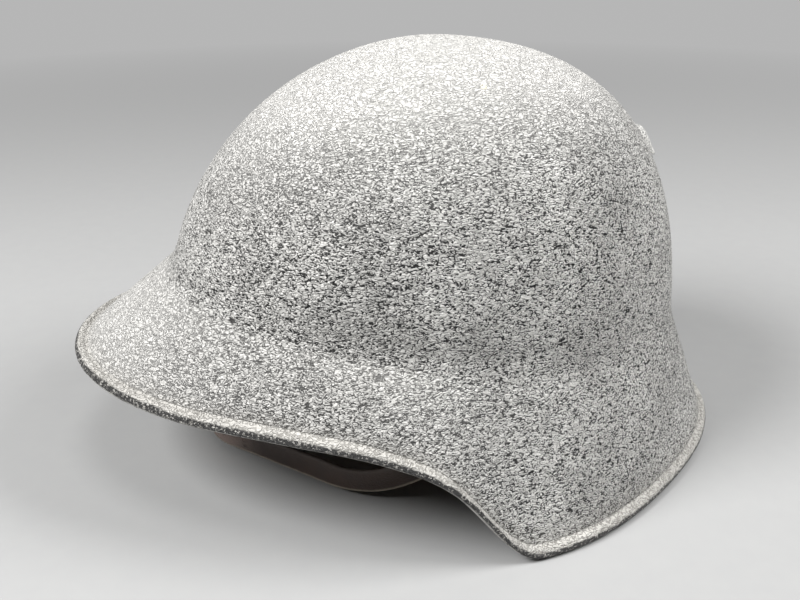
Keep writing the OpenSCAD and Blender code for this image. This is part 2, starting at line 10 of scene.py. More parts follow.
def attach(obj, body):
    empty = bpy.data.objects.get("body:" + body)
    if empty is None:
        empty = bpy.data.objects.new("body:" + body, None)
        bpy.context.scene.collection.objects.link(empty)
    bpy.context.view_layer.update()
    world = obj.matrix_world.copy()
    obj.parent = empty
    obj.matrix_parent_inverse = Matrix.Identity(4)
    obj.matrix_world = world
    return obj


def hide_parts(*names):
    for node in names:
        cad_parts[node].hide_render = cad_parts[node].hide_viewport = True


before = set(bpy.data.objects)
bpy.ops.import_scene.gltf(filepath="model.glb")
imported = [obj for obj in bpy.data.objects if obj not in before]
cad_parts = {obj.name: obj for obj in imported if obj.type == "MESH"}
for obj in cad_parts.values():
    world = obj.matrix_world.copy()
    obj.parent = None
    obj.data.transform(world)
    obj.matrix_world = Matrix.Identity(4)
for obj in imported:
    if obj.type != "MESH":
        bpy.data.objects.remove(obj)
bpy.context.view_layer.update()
MM = 0.001

# Shell sizes in millimetres, the same as the frame's model
SHELL_LENGTH = 302.0
SHELL_WIDTH = 245.0
SHELL_HEIGHT = 181.5
SHEET = 1.2
BEAD_R = 2.7
BOWL_HALF_WIDTH = 97.5
BOWL_FRONT = 111.5
BOWL_REAR = 124.5
BOWL_BASE = 53.5
CROWN_SHIFT = 15.0
BOWL_MIDDLE = 1.6
END_BULGE = 0.032
SIDE_BULGE = 0.1
CREASE_SIDE = 75.0
CREASE_FRONT_RISE = 15.0
CREASE_REAR_DROP = 15.5
RIM_FRONT_Z = 54.5
RIM_SIDE_Z = 46.0
SKIRT_BULGE = 4.0
RIM_FOOT_Y = 28.0
RIM_REAR_LIFT = 1.2
RIM_MIDDLE = 15.6
RIM_FRONT_FLAT = 0.057
RIM_REAR_FLAT = 0.065
FLARE_BEND = 0.2
GROOVE_R = 1.4
RISE = SHELL_HEIGHT - BOWL_BASE
RIM_HALF_LENGTH = SHELL_LENGTH / 2 - BEAD_R
RIM_HALF_WIDTH = SHELL_WIDTH / 2 - BEAD_R

# Vent and hood sizes in millimetres
VENT_Z = 133.0
VENT_R = 3.0
CUT_REACH = 5.0
HOOD_WIDTH = 15.0
HOOD_LENGTH = 17.0
HOOD_WALL = 0.9
HOOD_SPAN = 15.6
HOOD_CREST = 5.4

# Liner sizes in millimetres: the headband's inner oval, and what stands in and round it
HEAD_HALF_WIDTH = 77.0
HEAD_HALF_LENGTH = 99.0
HEAD_END_R = 66.0
HEAD_Y = 12.0
SEAT_GAP = 0.1
SOFT_GAP = 0.3
BAND_T = 2.0
BAND_H = 30.0
BAND_Z = 58.0
HOOP_T = 0.8
HOOP_H = 16.0
HOOP_Z = 63.0
HOOP_OUT = BAND_T + SEAT_GAP + HOOP_T
PLATE_X = HOOP_OUT + SEAT_GAP
BRACKET_T = 1.5
TONGUE_T = 1.8
TONGUE_TOP = 148.0
CROWN_HOLE_R = 22.0
LACE_R = 1.3

# Chinstrap sizes in millimetres, with the lean and hang of its loose side
STRAP_W = 16.0
STRAP_T = 2.2
STRAP_Z = 10.5
STRAP_X = 78.6
WASHER_T = 0.8
PIVOT_Z = 48.0
LOOP_FRONT = 98.0
NOSE_R = 26.0
SIDE_BEND_R = 60.0
LOOP_LEAN = math.radians(16)
LOOP_LIFT = 0.5
LOOP_PULL = 1.9


# Meshes from grids of points
def add_object(name, data):
    obj = bpy.data.objects.new(name, data)
    bpy.context.scene.collection.objects.link(obj)
    return obj


def add_mesh(name, points, faces):
    mesh = bpy.data.meshes.new(name)
    mesh.from_pydata([tuple(p) for p in points], [], faces)
    mesh.update()
    mesh.shade_smooth()
    return add_object(name, mesh)


def round_angles(steps):
    return np.arange(steps) * 2 * math.pi / steps


def grid_faces(columns, rows, wrap_columns=False, wrap_rows=False, start=0):
    """Quads between neighbours of a grid whose points follow each other down the rows of each column."""
    faces = []
    for i in range(columns if wrap_columns else columns - 1):
        a = start + i * rows
        b = start + (i + 1) % columns * rows
        for j in range(rows if wrap_rows else rows - 1):
            m = (j + 1) % rows
            faces.append((a + j, a + m, b + m, b + j))
    return faces


def slab(name, outer, inner):
    """Closed slab between two grids of points, with quads along all its edges."""
    columns, rows = outer.shape[:2]
    s = columns * rows
    faces = grid_faces(columns, rows) + [face[::-1] for face in grid_faces(columns, rows, start=s)]
    for a in range(0, s - rows, rows):
        b = a + rows
        faces.append((a, b, s + b, s + a))
        faces.append((b - 1, s + b - 1, s + b + rows - 1, b + rows - 1))
    for j in range(rows - 1):
        b = s - rows + j
        faces.append((j, s + j, s + j + 1, j + 1))
        faces.append((b, b + 1, s + b + 1, s + b))
    points = np.concatenate([outer.reshape(-1, 3), inner.reshape(-1, 3)])
    return add_mesh(name, points * MM, faces)


def tube_faces(length, rows, closed=False, start=0):
    faces = grid_faces(length, rows, wrap_columns=closed, wrap_rows=True, start=start)
    if not closed:
        faces.append(tuple(range(start, start + rows))[::-1])
        faces.append(tuple(range(start + (length - 1) * rows, start + length * rows)))
    return faces


def tube(name, path, section, closed=False):
    """Sweeps section offsets, given for each path point as points in space, into one closed mesh."""
    points = (path[:, None, :] + section).reshape(-1, 3)
    return add_mesh(name, points * MM, tube_faces(len(path), section.shape[1], closed))


def put_attribute(obj, name, values):
    layer = obj.data.attributes.new(name, "FLOAT", "POINT")
    layer.data.foreach_set("value", np.asarray(values, np.float32))


def unit(v):
    return v / np.maximum(np.linalg.norm(v, axis=-1, keepdims=True), 1e-9)


def facing(v, way):
    """Unit vectors along v, turned to the side that way points to."""
    return unit(v) * np.sign((v * way).sum(-1, keepdims=True))


# Shell form: plan angle p is 0 at the front, 90 degrees at the wearer's left, 180 at the rear
def oval(p, a, front, rear, front_flat, rear_flat):
    reach = np.where(np.cos(p) > 0, front, rear)
    flat = rear_flat + (front_flat - rear_flat) * (0.5 + 0.5 * np.cos(p))
    return (1 - flat * np.sin(2 * p) ** 2) / np.sqrt((np.sin(p) / a) ** 2 + (np.cos(p) / reach) ** 2)


def bow(p, t):
    return 1 + (SIDE_BULGE + (END_BULGE - SIDE_BULGE) * np.cos(p) ** 2) * np.sin(2 * t) ** 2


def bowl_height(p, t):
    return BOWL_BASE + RISE * np.cos(t) * bow(p, t)


def lean(z):
    return BOWL_MIDDLE + CROWN_SHIFT * np.clip((z - BOWL_BASE) / RISE, 0, None) ** 2


def bowl_point(p, t):
    r = oval(p, BOWL_HALF_WIDTH, BOWL_FRONT, BOWL_REAR, 0, 0) * np.sin(t) * bow(p, t)
    z = bowl_height(p, t)
    return np.stack([r * np.sin(p), lean(z) - r * np.cos(p), z], -1)


def bowl_angle(p, z):
    low = np.zeros_like(p)
    high = np.full_like(p, math.pi / 2)
    for _ in range(30):
        mid = (low + high) / 2
        above = bowl_height(p, mid) > z
        low = np.where(above, mid, low)
        high = np.where(above, high, mid)
    return (low + high) / 2


def bowl_normal(p, t):
    e = 0.004
    down = bowl_point(p, t + e) - bowl_point(p, t - e)
    return unit(np.cross(down, bowl_point(p + e, t) - bowl_point(p - e, t)))


def crease_z(p):
    return CREASE_SIDE + np.where(np.cos(p) > 0, CREASE_FRONT_RISE, CREASE_REAR_DROP) * np.cos(p)


def crease_round(p):
    return 9 - 2 * np.cos(p) + 2.5 * np.cos(2 * p)


TRIM_Y = np.array([-148, -108, -68, -33, -8, RIM_FOOT_Y - 11.5, RIM_FOOT_Y, RIM_FOOT_Y + 30, 170])
TRIM_Z = np.array([RIM_FRONT_Z, (2 * RIM_FRONT_Z + RIM_SIDE_Z) / 3, (RIM_FRONT_Z + RIM_SIDE_Z) / 2,
                   RIM_SIDE_Z, RIM_SIDE_Z * 0.75, RIM_SIDE_Z * 0.135, 0, 0, RIM_REAR_LIFT])


def trim_z(y):
    slope = np.zeros(len(TRIM_Y))
    slope[1:6] = ((TRIM_Z[2:] - TRIM_Z[:-2]) / (TRIM_Y[2:] - TRIM_Y[:-2]))[:5]
    slope[0] = (TRIM_Z[1] - TRIM_Z[0]) / (TRIM_Y[1] - TRIM_Y[0])
    i = np.clip(np.searchsorted(TRIM_Y, y) - 1, 0, len(TRIM_Y) - 2)
    h = TRIM_Y[i + 1] - TRIM_Y[i]
    u = np.clip((y - TRIM_Y[i]) / h, 0, 1)
    return ((2 * u ** 3 - 3 * u ** 2 + 1) * TRIM_Z[i] + (u ** 3 - 2 * u ** 2 + u) * h * slope[i]
            + (3 * u ** 2 - 2 * u ** 3) * TRIM_Z[i + 1] + (u ** 3 - u ** 2) * h * slope[i + 1])


def rim_point(p):
    r = oval(p, RIM_HALF_WIDTH, RIM_HALF_LENGTH + RIM_MIDDLE, RIM_HALF_LENGTH - RIM_MIDDLE,
             RIM_FRONT_FLAT, RIM_REAR_FLAT)
    y = RIM_MIDDLE - r * np.cos(p)
    return np.stack([r * np.sin(p), y, trim_z(y) + BEAD_R], -1)


def wall_point(p, z, d):
    t = bowl_angle(p, z)
    return bowl_point(p, t) - d * bowl_normal(p, t)


def make_shell():
    """Closed sheet: outer face from the crown down, groove, bead, and the inner face back up."""
    columns, bowl_rows, crease_rows, skirt_rows, fillet_rows, bead_rows = 400, 92, 24, 24, 6, 26
    p = round_angles(columns)
    t_end = bowl_angle(p, crease_z(p) + crease_round(p))
    a = bowl_point(p, t_end)
    c = bowl_point(p, bowl_angle(p, crease_z(p)))
    rim = rim_point(p)
    # The skirt leaves the crease at a low slope and bends down halfway to the rim
    chord = unit(rim - c)
    stand_out = unit(np.array([0, 0, 1.0]) - chord[:, 2:] * chord)
    m = (c + rim) / 2 + SKIRT_BULGE * (np.sin(p) ** 2)[:, None] * stand_out
    k = c + FLARE_BEND * (m - c)
    down = unit(rim - m)
    # The paint fills the groove above the bead with a small fillet that touches the sheet and the bead
    reach = math.sqrt(BEAD_R ** 2 + 2 * BEAD_R * GROOVE_R)
    rows = [bowl_point(p, t_end * i / bowl_rows) for i in range(1, bowl_rows + 1)]
    for start, pull, end, steps in ((a, c, k, crease_rows), (k, m, rim - reach * down, skirt_rows)):
        for u in np.arange(1, steps + 1) / steps:
            rows.append((1 - u) ** 2 * start + 2 * u * (1 - u) * pull + u * u * end)
    sheet_rows = len(rows)
    outer = np.stack(rows, 1)
    across = np.roll(outer, -1, 0) - np.roll(outer, 1, 0)
    along = np.gradient(outer, axis=1)
    normal = unit(np.cross(along, across))
    n = unit(normal[:, -1] - (normal[:, -1] * down).sum(-1, keepdims=True) * down)
    meet = math.atan2(GROOVE_R, -reach)
    fillet_turn = math.pi / 2 - math.asin(GROOVE_R / (BEAD_R + GROOVE_R))
    groove = [rim + (GROOVE_R * math.sin(q) - reach) * down + GROOVE_R * (1 - math.cos(q)) * n
              for q in fillet_turn * np.arange(1, fillet_rows + 1) / fillet_rows]
    bead_turn = meet + math.pi - math.asin(SHEET / BEAD_R)
    bead = [rim + BEAD_R * (math.cos(q) * down + math.sin(q) * n)
            for q in meet - bead_turn * np.arange(1, bead_rows + 1) / bead_rows]
    # One row leads from the bead's end to the inner face
    tail = [rim - 0.93 * reach * down - SHEET * n]
    inner = (outer - SHEET * normal)[:, -1::-2]
    body = np.concatenate([outer, np.stack(groove + bead + tail, 1), inner], 1)
    rows = body.shape[1]
    points = list(body.reshape(-1, 3) * MM)
    crown = np.array([0, BOWL_MIDDLE + CROWN_SHIFT, SHELL_HEIGHT])
    points += [crown * MM, (crown - [0, 0, SHEET]) * MM]
    top = columns * rows
    faces = grid_faces(columns, rows, wrap_columns=True)
    for i in range(columns):
        m = (i + 1) % columns
        faces.append((top, i * rows, m * rows))
        faces.append((top + 1, m * rows + rows - 1, i * rows + rows - 1))
    shell = add_mesh("helmet_shell", points, faces)
    # Round the bead: 0 on the sheet, 1 from the groove on, 2 where the bead turns under
    bead_from = sheet_rows + fillet_rows
    fade = 5
    rim_mask = np.zeros(rows)
    rim_mask[sheet_rows - fade:sheet_rows] = np.linspace(0.1, 0.6, fade)
    rim_mask[sheet_rows:bead_from] = 1
    rim_mask[bead_from:bead_from + bead_rows] = 1 + np.clip(np.arange(bead_rows) / (bead_rows * 0.5), 0, 1)
    inside = np.zeros(rows)
    inside[bead_from + bead_rows - 1:] = 1
    put_attribute(shell, "rim", list(np.tile(rim_mask, columns)) + [0, 0])
    put_attribute(shell, "inside", list(np.tile(inside, columns)) + [0, 1])
    # Dust and painted top light where the sheet faces up, and above and on the bead
    level = np.zeros((columns, rows))
    level[:, :sheet_rows] = np.clip(normal[..., 2], 0, 1)
    level[:, sheet_rows:bead_from + bead_rows // 3] = 0.6
    put_attribute(shell, "level", list(level.reshape(-1)) + [1, 0])
    return shell


# Materials made of shader nodes
def opaque(colour):
    """A colour with full alpha; a socket stays as it is."""
    return colour if isinstance(colour, bpy.types.NodeSocket) else (*colour, 1.0)


class Shader:
    """A small builder for one procedural material, whose methods take values or sockets."""

    def __init__(self, name):
        self.material = bpy.data.materials.new(name)
        self.material.use_nodes = True
        self.tree = self.material.node_tree
        self.bsdf = self.tree.nodes["Principled BSDF"]
        self.place = self.node("TexCoord").outputs["Object"]

    def node(self, kind, inputs=None, **settings):
        """New shader node with its settings, and its inputs as a dict from name or number to value."""
        made = self.tree.nodes.new("ShaderNode" + kind)
        for key, value in settings.items():
            setattr(made, key, value)
        for key, value in (inputs or {}).items():
            self.link(value, made.inputs[key])
        return made

    def link(self, value, socket):
        if isinstance(value, bpy.types.NodeSocket):
            self.tree.links.new(value, socket)
        else:
            socket.default_value = value

    def noise(self, scale, detail=2.0, rough=0.5, place=None, distortion=0.0):
        inputs = {"Vector": place or self.place, "Scale": scale, "Detail": detail, "Roughness": rough,
                  "Distortion": distortion}
        return self.node("TexNoise", inputs).outputs["Fac"]

    def cells(self, scale, feature="F1", smooth=0.0, place=None):
        inputs = {"Vector": place or self.place, "Scale": scale}
        if feature == "SMOOTH_F1":
            inputs["Smoothness"] = smooth
        return self.node("TexVoronoi", inputs, feature=feature).outputs["Distance"]

    def fit(self, value, low, high, to_low=0.0, to_high=1.0):
        inputs = {"Value": value, "From Min": low, "From Max": high, "To Min": to_low, "To Max": to_high}
        return self.node("MapRange", inputs, clamp=True).outputs["Result"]

    def math(self, operation, a, b=0.0):
        return self.node("Math", {0: a, 1: b}, operation=operation).outputs[0]

    def plus(self, a, b):
        return self.math("ADD", a, b)

    def minus(self, a, b):
        return self.math("SUBTRACT", a, b)

    def times(self, a, b):
        return self.math("MULTIPLY", a, b)

    def folded(self, noise):
        """Noise folded at its middle, which draws narrow valleys."""
        return self.fit(self.math("ABSOLUTE", self.minus(noise, 0.5)), 0.0, 0.13)

    def mix(self, share, a, b):
        return self.node("Mix", {0: share, 6: opaque(a), 7: opaque(b)}, data_type="RGBA").outputs[2]

    def attribute(self, name):
        return self.node("Attribute", attribute_name=name).outputs["Fac"]

    def bump(self, height, distance, strength):
        inputs = {"Height": height, "Distance": distance, "Strength": strength}
        return self.node("Bump", inputs).outputs["Normal"]

    def finish(self, colour, roughness, normal=None, metallic=0.0):
        for key, value in (("Base Color", opaque(colour)), ("Roughness", roughness), ("Metallic", metallic),
                           ("Normal", normal)):
            if value is not None:
                self.link(value, self.bsdf.inputs[key])
        return self.material


# Tones of the shell's paint, with painted shade in its clefts and on the bead's lower side and painted top
# light where it faces up, and the place of its one chip
CLEFT_SHADE, DUSTY_LIT_CLEFT = (0.004, 0.0039, 0.0038), (0.44, 0.432, 0.414)
CRUMB, PALE_CRUMB = (0.60, 0.589, 0.565), (0.82, 0.806, 0.775)
STAIN = (0.45, 0.443, 0.425)
DUST_AND_TOP_LIGHT = (0.68, 0.668, 0.64)
CREAM_BAND = (0.36, 0.343, 0.31)
WORN_STEEL_AND_SHADE = (0.022, 0.021, 0.02)
TURNED_LINE = (0.45, 0.44, 0.41)
INNER_PAINT, PALE_INNER_PAINT = (0.16, 0.165, 0.155), (0.25, 0.255, 0.24)
CHIP = (0.93, 0.87, 0.72)
CHIP_AT = (0.0549, 0.0189, 0.1713)


def grain_height(s):
    """Flat-topped crumbs, wider than tall, between narrow clefts, with a sparse larger pit here and there."""
    laid = s.node("Mapping", {"Vector": s.place, "Scale": (1.0, 1.0, 2.1)}).outputs["Vector"]
    lumps = s.folded(s.noise(540, 0.0, 0.5, laid, 0.8))
    grit = s.folded(s.noise(900, 0.0, 0.5, laid, 0.4))
    crumbs = s.minus(0.75, s.cells(720, place=laid))
    height = s.plus(s.plus(s.times(lumps, 0.6), s.times(grit, 0.22)), s.times(crumbs, 0.5))
    pits = s.fit(s.noise(250, 2, 0.6, laid), 0.38, 0.32)
    return s.minus(height, s.times(pits, 0.4))


def shell_paint():
    """Pale granular paint with painted shade in its clefts, dust and painted top light where the sheet faces
    up, and wear and painted shade along the bead.
    """
    s = Shader("granular_paint")
    height = grain_height(s)
    patches = s.noise(26, 3, 0.6)
    level = s.attribute("level")
    dust_and_top_light = s.math("POWER", s.fit(level, 0.2, 0.82), 1.8)
    # Painted shade in the clefts and pits, lighter where the dust and painted top light lie
    cleft_shade = s.mix(dust_and_top_light, CLEFT_SHADE, DUSTY_LIT_CLEFT)
    pale = s.mix(s.fit(patches, 0.35, 0.65), CRUMB, PALE_CRUMB)
    pale = s.mix(s.fit(s.noise(8, 2, 0.5), 0.4, 0.7, 0.0, 0.3), pale, STAIN)
    # Lighter where the sheet faces up: dust and painted top light
    pale = s.mix(s.fit(level, 0.35, 0.95, 0.0, 0.85), pale, DUST_AND_TOP_LIGHT)
    # The grain's painted cleft shade is crisp on steep walls and soft where the sheet faces up
    lower = s.fit(level, 0.75, 0.5)
    crisp = s.times(s.fit(height, 0.485, 0.575), lower)
    soft = s.times(s.fit(height, 0.44, 0.62), s.minus(1.0, lower))
    tone = s.mix(s.plus(crisp, soft), cleft_shade, pale)
    # Cream band above the bead, then worn dark steel with light flecks and painted shade on the bead's lower
    # side, and a light line where it turns in
    rim = s.attribute("rim")
    tone = s.mix(s.fit(rim, 0.1, 1.0, 0.0, 0.55), tone, CREAM_BAND)
    uneven_rim = s.plus(rim, s.times(s.noise(160, 3, 0.6), 0.3))
    under = s.times(s.fit(uneven_rim, 1.42, 1.52), s.fit(rim, 1.95, 1.9))
    wear_and_painted_light = s.times(under, s.fit(s.noise(820, 3, 0.7), 0.60, 0.54))
    # Near-black band on the bead's lower side: worn steel and painted shade
    tone = s.mix(wear_and_painted_light, tone, WORN_STEEL_AND_SHADE)
    turned = s.times(s.fit(rim, 1.72, 1.76), s.fit(s.noise(140, 2, 0.6), 0.36, 0.5))
    tone = s.mix(turned, tone, TURNED_LINE)
    # One cream chip where the paint came away near the crown
    away = s.node("VectorMath", {0: s.place, 1: CHIP_AT}, operation="DISTANCE").outputs["Value"]
    torn = s.plus(away, s.times(s.noise(520, 3, 0.6), 0.002))
    tone = s.mix(s.fit(torn, 0.0026, 0.0020), tone, CHIP)
    inside = s.attribute("inside")
    tone = s.mix(inside, tone, s.mix(s.fit(patches, 0.3, 0.7), INNER_PAINT, PALE_INNER_PAINT))
    # The grain is lower inside, on the bead and where the dust and painted top light lie
    smooth = s.math("MAXIMUM", inside, s.fit(rim, 0.6, 1.0, 0.0, 0.6))
    low_grain = s.times(s.times(height, s.fit(smooth, 0, 1, 1.0, 0.12)), s.fit(dust_and_top_light, 0, 1, 1.0, 0.65))
    return s.finish(tone, s.fit(wear_and_painted_light, 0, 1, 0.85, 0.5), s.bump(low_grain, 0.0018, 1.0))


def leather(name, dark, light, wear_and_painted_light, grain_scale, gloss, pale_nose=None):
    """Creased leather with worn edges, more on the lower side; a strap is also paler round its nose and
    lighter along its lower side, and on a strap the lighter edges and lower side are wear and painted light.
    """
    s = Shader(name)
    grain = s.cells(grain_scale, "SMOOTH_F1", 0.4)
    creases = s.noise(130, 3, 0.7, distortion=1.2)
    patches = s.noise(45, 3, 0.6)
    tone = s.mix(s.fit(patches, 0.3, 0.7), dark, light)
    tone = s.mix(s.fit(creases, 0.56, 0.66, 0.0, 0.35), tone, dark)
    across = s.attribute("across")
    edge = s.times(s.attribute("edge"), s.fit(s.noise(300, 2, 0.6), 0.3, 0.6, 0.5, 1.0))
    # Edges take the edge tone more towards the lower side; on the strap this is wear and painted light
    edge = s.times(edge, s.fit(across, 0.3, -0.3, 0.12, 1.0))
    if pale_nose is not None:
        nose = s.times(s.attribute("pale_nose"), s.fit(s.noise(210, 3, 0.65), 0.3, 0.5))
        tone = s.mix(nose, tone, pale_nose)
        # The strap's lower side is lighter: wear and painted light
        low = s.fit(s.plus(across, s.times(s.noise(320, 3, 0.6), 0.14)), -0.55, -0.72)
        tone = s.mix(low, tone, wear_and_painted_light)
    tone = s.mix(edge, tone, wear_and_painted_light)
    height = s.plus(s.times(grain, 0.4), s.times(creases, 0.6))
    return s.finish(tone, s.fit(patches, 0.3, 0.7, gloss - 0.08, gloss + 0.12), s.bump(height, 0.0005, 0.8))


def dull_steel(name, base, rust_share=0.3):
    s = Shader(name)
    patches = s.noise(60, 4, 0.65)
    scratches = s.noise(700, 2, 0.6)
    tone = s.mix(s.fit(scratches, 0.35, 0.7), tuple(0.7 * v for v in base), base)
    tone = s.mix(s.fit(patches, 0.55, 0.75, 0.0, rust_share), tone, (0.16, 0.085, 0.05))
    return s.finish(tone, s.fit(patches, 0.3, 0.7, 0.38, 0.62), s.bump(scratches, 0.0002, 0.6),
                    s.fit(patches, 0.5, 0.75, 0.85, 0.3))


def felt_cloth():
    s = Shader("grey_felt")
    fibre = s.noise(1100, 5, 0.75, distortion=1.5)
    patches = s.noise(60, 3, 0.6)
    tone = s.mix(s.fit(fibre, 0.35, 0.65), (0.12, 0.11, 0.095), (0.32, 0.29, 0.25))
    tone = s.mix(s.fit(patches, 0.4, 0.7, 0.0, 0.4), tone, (0.2, 0.16, 0.12))
    return s.finish(tone, 0.95, s.bump(fibre, 0.001, 1.0))


def lace_cotton():
    s = Shader("cotton_lace")
    strands = s.noise(1400, 3, 0.6, distortion=2.0)
    tone = s.mix(s.fit(strands, 0.35, 0.65), (0.3, 0.27, 0.2), (0.55, 0.5, 0.4))
    return s.finish(tone, 0.9, s.bump(strands, 0.0006, 1.0))


def hood_paint():
    s = Shader("worn_hood_paint")
    wear = s.fit(s.noise(1300, 3, 0.65), 0.40, 0.58)
    tone = s.mix(wear, (0.20, 0.20, 0.195), (0.66, 0.65, 0.62))
    return s.finish(tone, 0.75, s.bump(s.noise(700, 3, 0.6), 0.0007, 1.0))


def linen_thread():
    s = Shader("linen_thread")
    twist = s.noise(2600, 2, 0.5)
    return s.finish(s.mix(twist, (0.30, 0.24, 0.15), (0.50, 0.42, 0.29)), 0.8, s.bump(twist, 0.0002, 1.0))


# Pieces, each on its body and in place of its own solid
def turn_outward(mesh):
    """Turns a closed mesh so that its faces look out."""
    shape = bmesh.new()
    shape.from_mesh(mesh)
    if shape.calc_volume(signed=True) < 0:
        mesh.flip_normals()
    shape.free()


def dress(obj, material, body, slot, *nodes):
    """Gives a new piece its material, its body and the nodes that it replaces; the slot is not used."""
    turn_outward(obj.data)
    obj.data.materials.clear()
    obj.data.materials.append(material)
    if nodes:
        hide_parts(*nodes)
    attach(obj, body)


def vent_frame():
    """Frame on the shell's outer face at the vent: its place, x across, y up the wall and z outward."""
    p = np.array([math.pi])
    t = bowl_angle(p, VENT_Z)
    out = bowl_normal(p, t)[0]
    across = np.array([1.0, 0, 0])
    return bowl_point(p, t)[0], across, np.cross(across, out), out


def pierce_vent(obj):
    """Round vent hole through the shell, under the hood."""
    at, across, up, out = vent_frame()
    q = round_angles(40)[:, None]
    circle = VENT_R * (np.cos(q) * across + np.sin(q) * up)
    ends = np.array([at - CUT_REACH * out, at + CUT_REACH * out])
    cutter = tube("vent_cutter", ends, np.array([circle, circle]))
    turn_outward(cutter.data)
    cut = obj.modifiers.new("vent_hole", "BOOLEAN")
    cut.operation = "DIFFERENCE"
    cut.solver = "EXACT"
    cut.object = cutter
    depsgraph = bpy.context.evaluated_depsgraph_get()
    pierced = bpy.data.meshes.new_from_object(obj.evaluated_get(depsgraph))
    obj.modifiers.clear()
    # The cut leaves a few points that lie together
    shape = bmesh.new()
    shape.from_mesh(pierced)
    bmesh.ops.remove_doubles(shape, verts=shape.verts, dist=1e-6)
    bmesh.ops.dissolve_degenerate(shape, edges=shape.edges, dist=1e-6)
    shape.to_mesh(pierced)
    shape.free()
    whole = obj.data
    obj.data = pierced
    bpy.data.meshes.remove(whole)
    bpy.data.objects.remove(cutter)
    return obj


def make_hood():
    """Pressed cowl over the vent, open at its lower end, with a turned lip there and a narrow foot."""
    at, across, up, out = vent_frame()
    rows, columns = 44, 48
    outer, inner = [], []
    for v in np.linspace(0, 1, rows):
        v = math.sin(v * math.pi / 2) ** 0.9 * 0.9995
        s = math.sqrt(1 - v ** 3)
        rise = (1 - v ** 7) ** 0.5
        y = -HOOD_LENGTH / 2 + HOOD_SPAN * v
        lip = 0.3 * math.exp(-(v * HOOD_SPAN / 0.9) ** 2)
        w = HOOD_WIDTH / 2 * s
        h = HOOD_CREST * rise * (0.88 + 0.12 * v) + lip
        # The sides stand clear of the shell near the open end
        clear = 2.8 * max(0, 1 - v * HOOD_SPAN / 5.2)
        low = math.asin((clear / h) ** (1 / 0.9))
        a = np.linspace(low, math.pi - low, columns)
        thin = HOOD_WALL * min(1, 3 * rise) * 0.7
        outer.append(np.stack([w * np.cos(a), np.full(columns, y), 0.1 + h * np.sin(a) ** 0.9], 1))
        inner_y = y - (0 if v < 0.01 else thin * v)
        inner.append(np.stack([max(w - thin, 0) * np.cos(a), np.full(columns, inner_y),
                               0.1 + np.maximum(h * np.sin(a) ** 0.9 - thin * np.sin(a), 0)], 1))
    local = np.array(outer + inner[::-1])
    points = at + local[..., :1] * across + local[..., 1:2] * up + local[..., 2:] * out
    faces = grid_faces(2 * rows, columns, wrap_columns=True)
    side = columns - 1
    for k in range(rows - 1):
        a, b, c, d = (columns * n for n in (k, k + 1, 2 * rows - 2 - k, 2 * rows - 1 - k))
        faces.append((a, b, c, d))
        faces.append((a + side, d + side, c + side, b + side))
    return add_mesh("vent_cowl", points.reshape(-1, 3) * MM, faces)


# Liner oval and what stands on it
END_OFFSET = HEAD_HALF_LENGTH - HEAD_END_R
SIDE_R = (HEAD_HALF_WIDTH ** 2 + END_OFFSET ** 2 - HEAD_END_R ** 2) / (2 * (HEAD_HALF_WIDTH - HEAD_END_R))
SIDE_OFFSET = SIDE_R - HEAD_HALF_WIDTH
JOIN_ANGLE = math.atan2(END_OFFSET, SIDE_OFFSET)


def oval_spot(p, k):
    """Point k outside the headband's inner face in plan direction p, the outward direction and the reach."""
    u = np.stack([np.sin(p), -np.cos(p)], -1)
    end_c = np.stack([np.zeros_like(p), np.where(u[..., 1] > 0, END_OFFSET, -END_OFFSET)], -1)
    side_c = np.stack([np.where(u[..., 0] > 0, -SIDE_OFFSET, SIDE_OFFSET), np.zeros_like(p)], -1)
    reach = []
    for c, r in ((end_c, HEAD_END_R + k), (side_c, SIDE_R + k)):
        along = (c * u).sum(-1)
        reach.append(along + np.sqrt(along ** 2 - (c * c).sum(-1) + r ** 2))
    hit = reach[0][..., None] * u - end_c
    angle = np.arctan2(np.abs(hit[..., 1]), np.abs(hit[..., 0]))
    on_end = (angle >= JOIN_ANGLE) & (hit[..., 1] * u[..., 1] >= 0)
    r = np.where(on_end, reach[0], reach[1])
    spot = r[..., None] * u
    out = unit(spot - np.where(on_end[..., None], end_c, side_c))
    return spot + [0, HEAD_Y], out, r


def ring_waves(p, size, seed):
    """A slow uneven wave round a ring, the same at both ends."""
    wave = random.Random(seed)
    total = np.zeros_like(p)
    for n in range(2, 9):
        total += math.cos(wave.uniform(0, 6.3)) * np.sin(n * p + wave.uniform(0, 6.3)) / n ** 0.7
    return size * total


def make_headband():
    columns = 288
    p = round_angles(columns)
    top = BAND_Z + BAND_H
    half = BAND_T / 2
    profile = [(half - half * math.cos(q), BAND_Z + half - half * math.sin(q))
               for q in np.linspace(0, math.pi, 7)]
    profile += [(BAND_T, z) for z in np.linspace(BAND_Z + 2.5, top - 1, 9)]
    profile += [(half + half * 0.9 * math.cos(q), top - 0.5 + 0.5 * math.sin(q))
                for q in np.linspace(0, math.pi, 6)]
    profile += [(0, z) for z in np.linspace(top - 1.5, BAND_Z + 2.5, 9)]
    spot, out, _ = oval_spot(p, 0.0)
    waves = ring_waves(p, 0.05, 3)
    points = np.stack([np.concatenate([spot + (k + waves)[:, None] * out, np.full((columns, 1), z)], 1)
                       for k, z in profile], 1)
    obj = add_mesh("leather_headband", points.reshape(-1, 3) * MM,
                   grid_faces(columns, len(profile), wrap_columns=True, wrap_rows=True))
    z = points[..., 2].reshape(-1)
    put_attribute(obj, "edge", np.clip(1 - np.minimum(z - BAND_Z, top - z) / 2.2, 0, 1))
    return obj


# Distance from the stitch's middle and half its thickness there
STITCH = ((-1.35, 0.08), (-1.1, 0.28), (-0.5, 0.36), (0.5, 0.36), (1.1, 0.28), (1.35, 0.08))


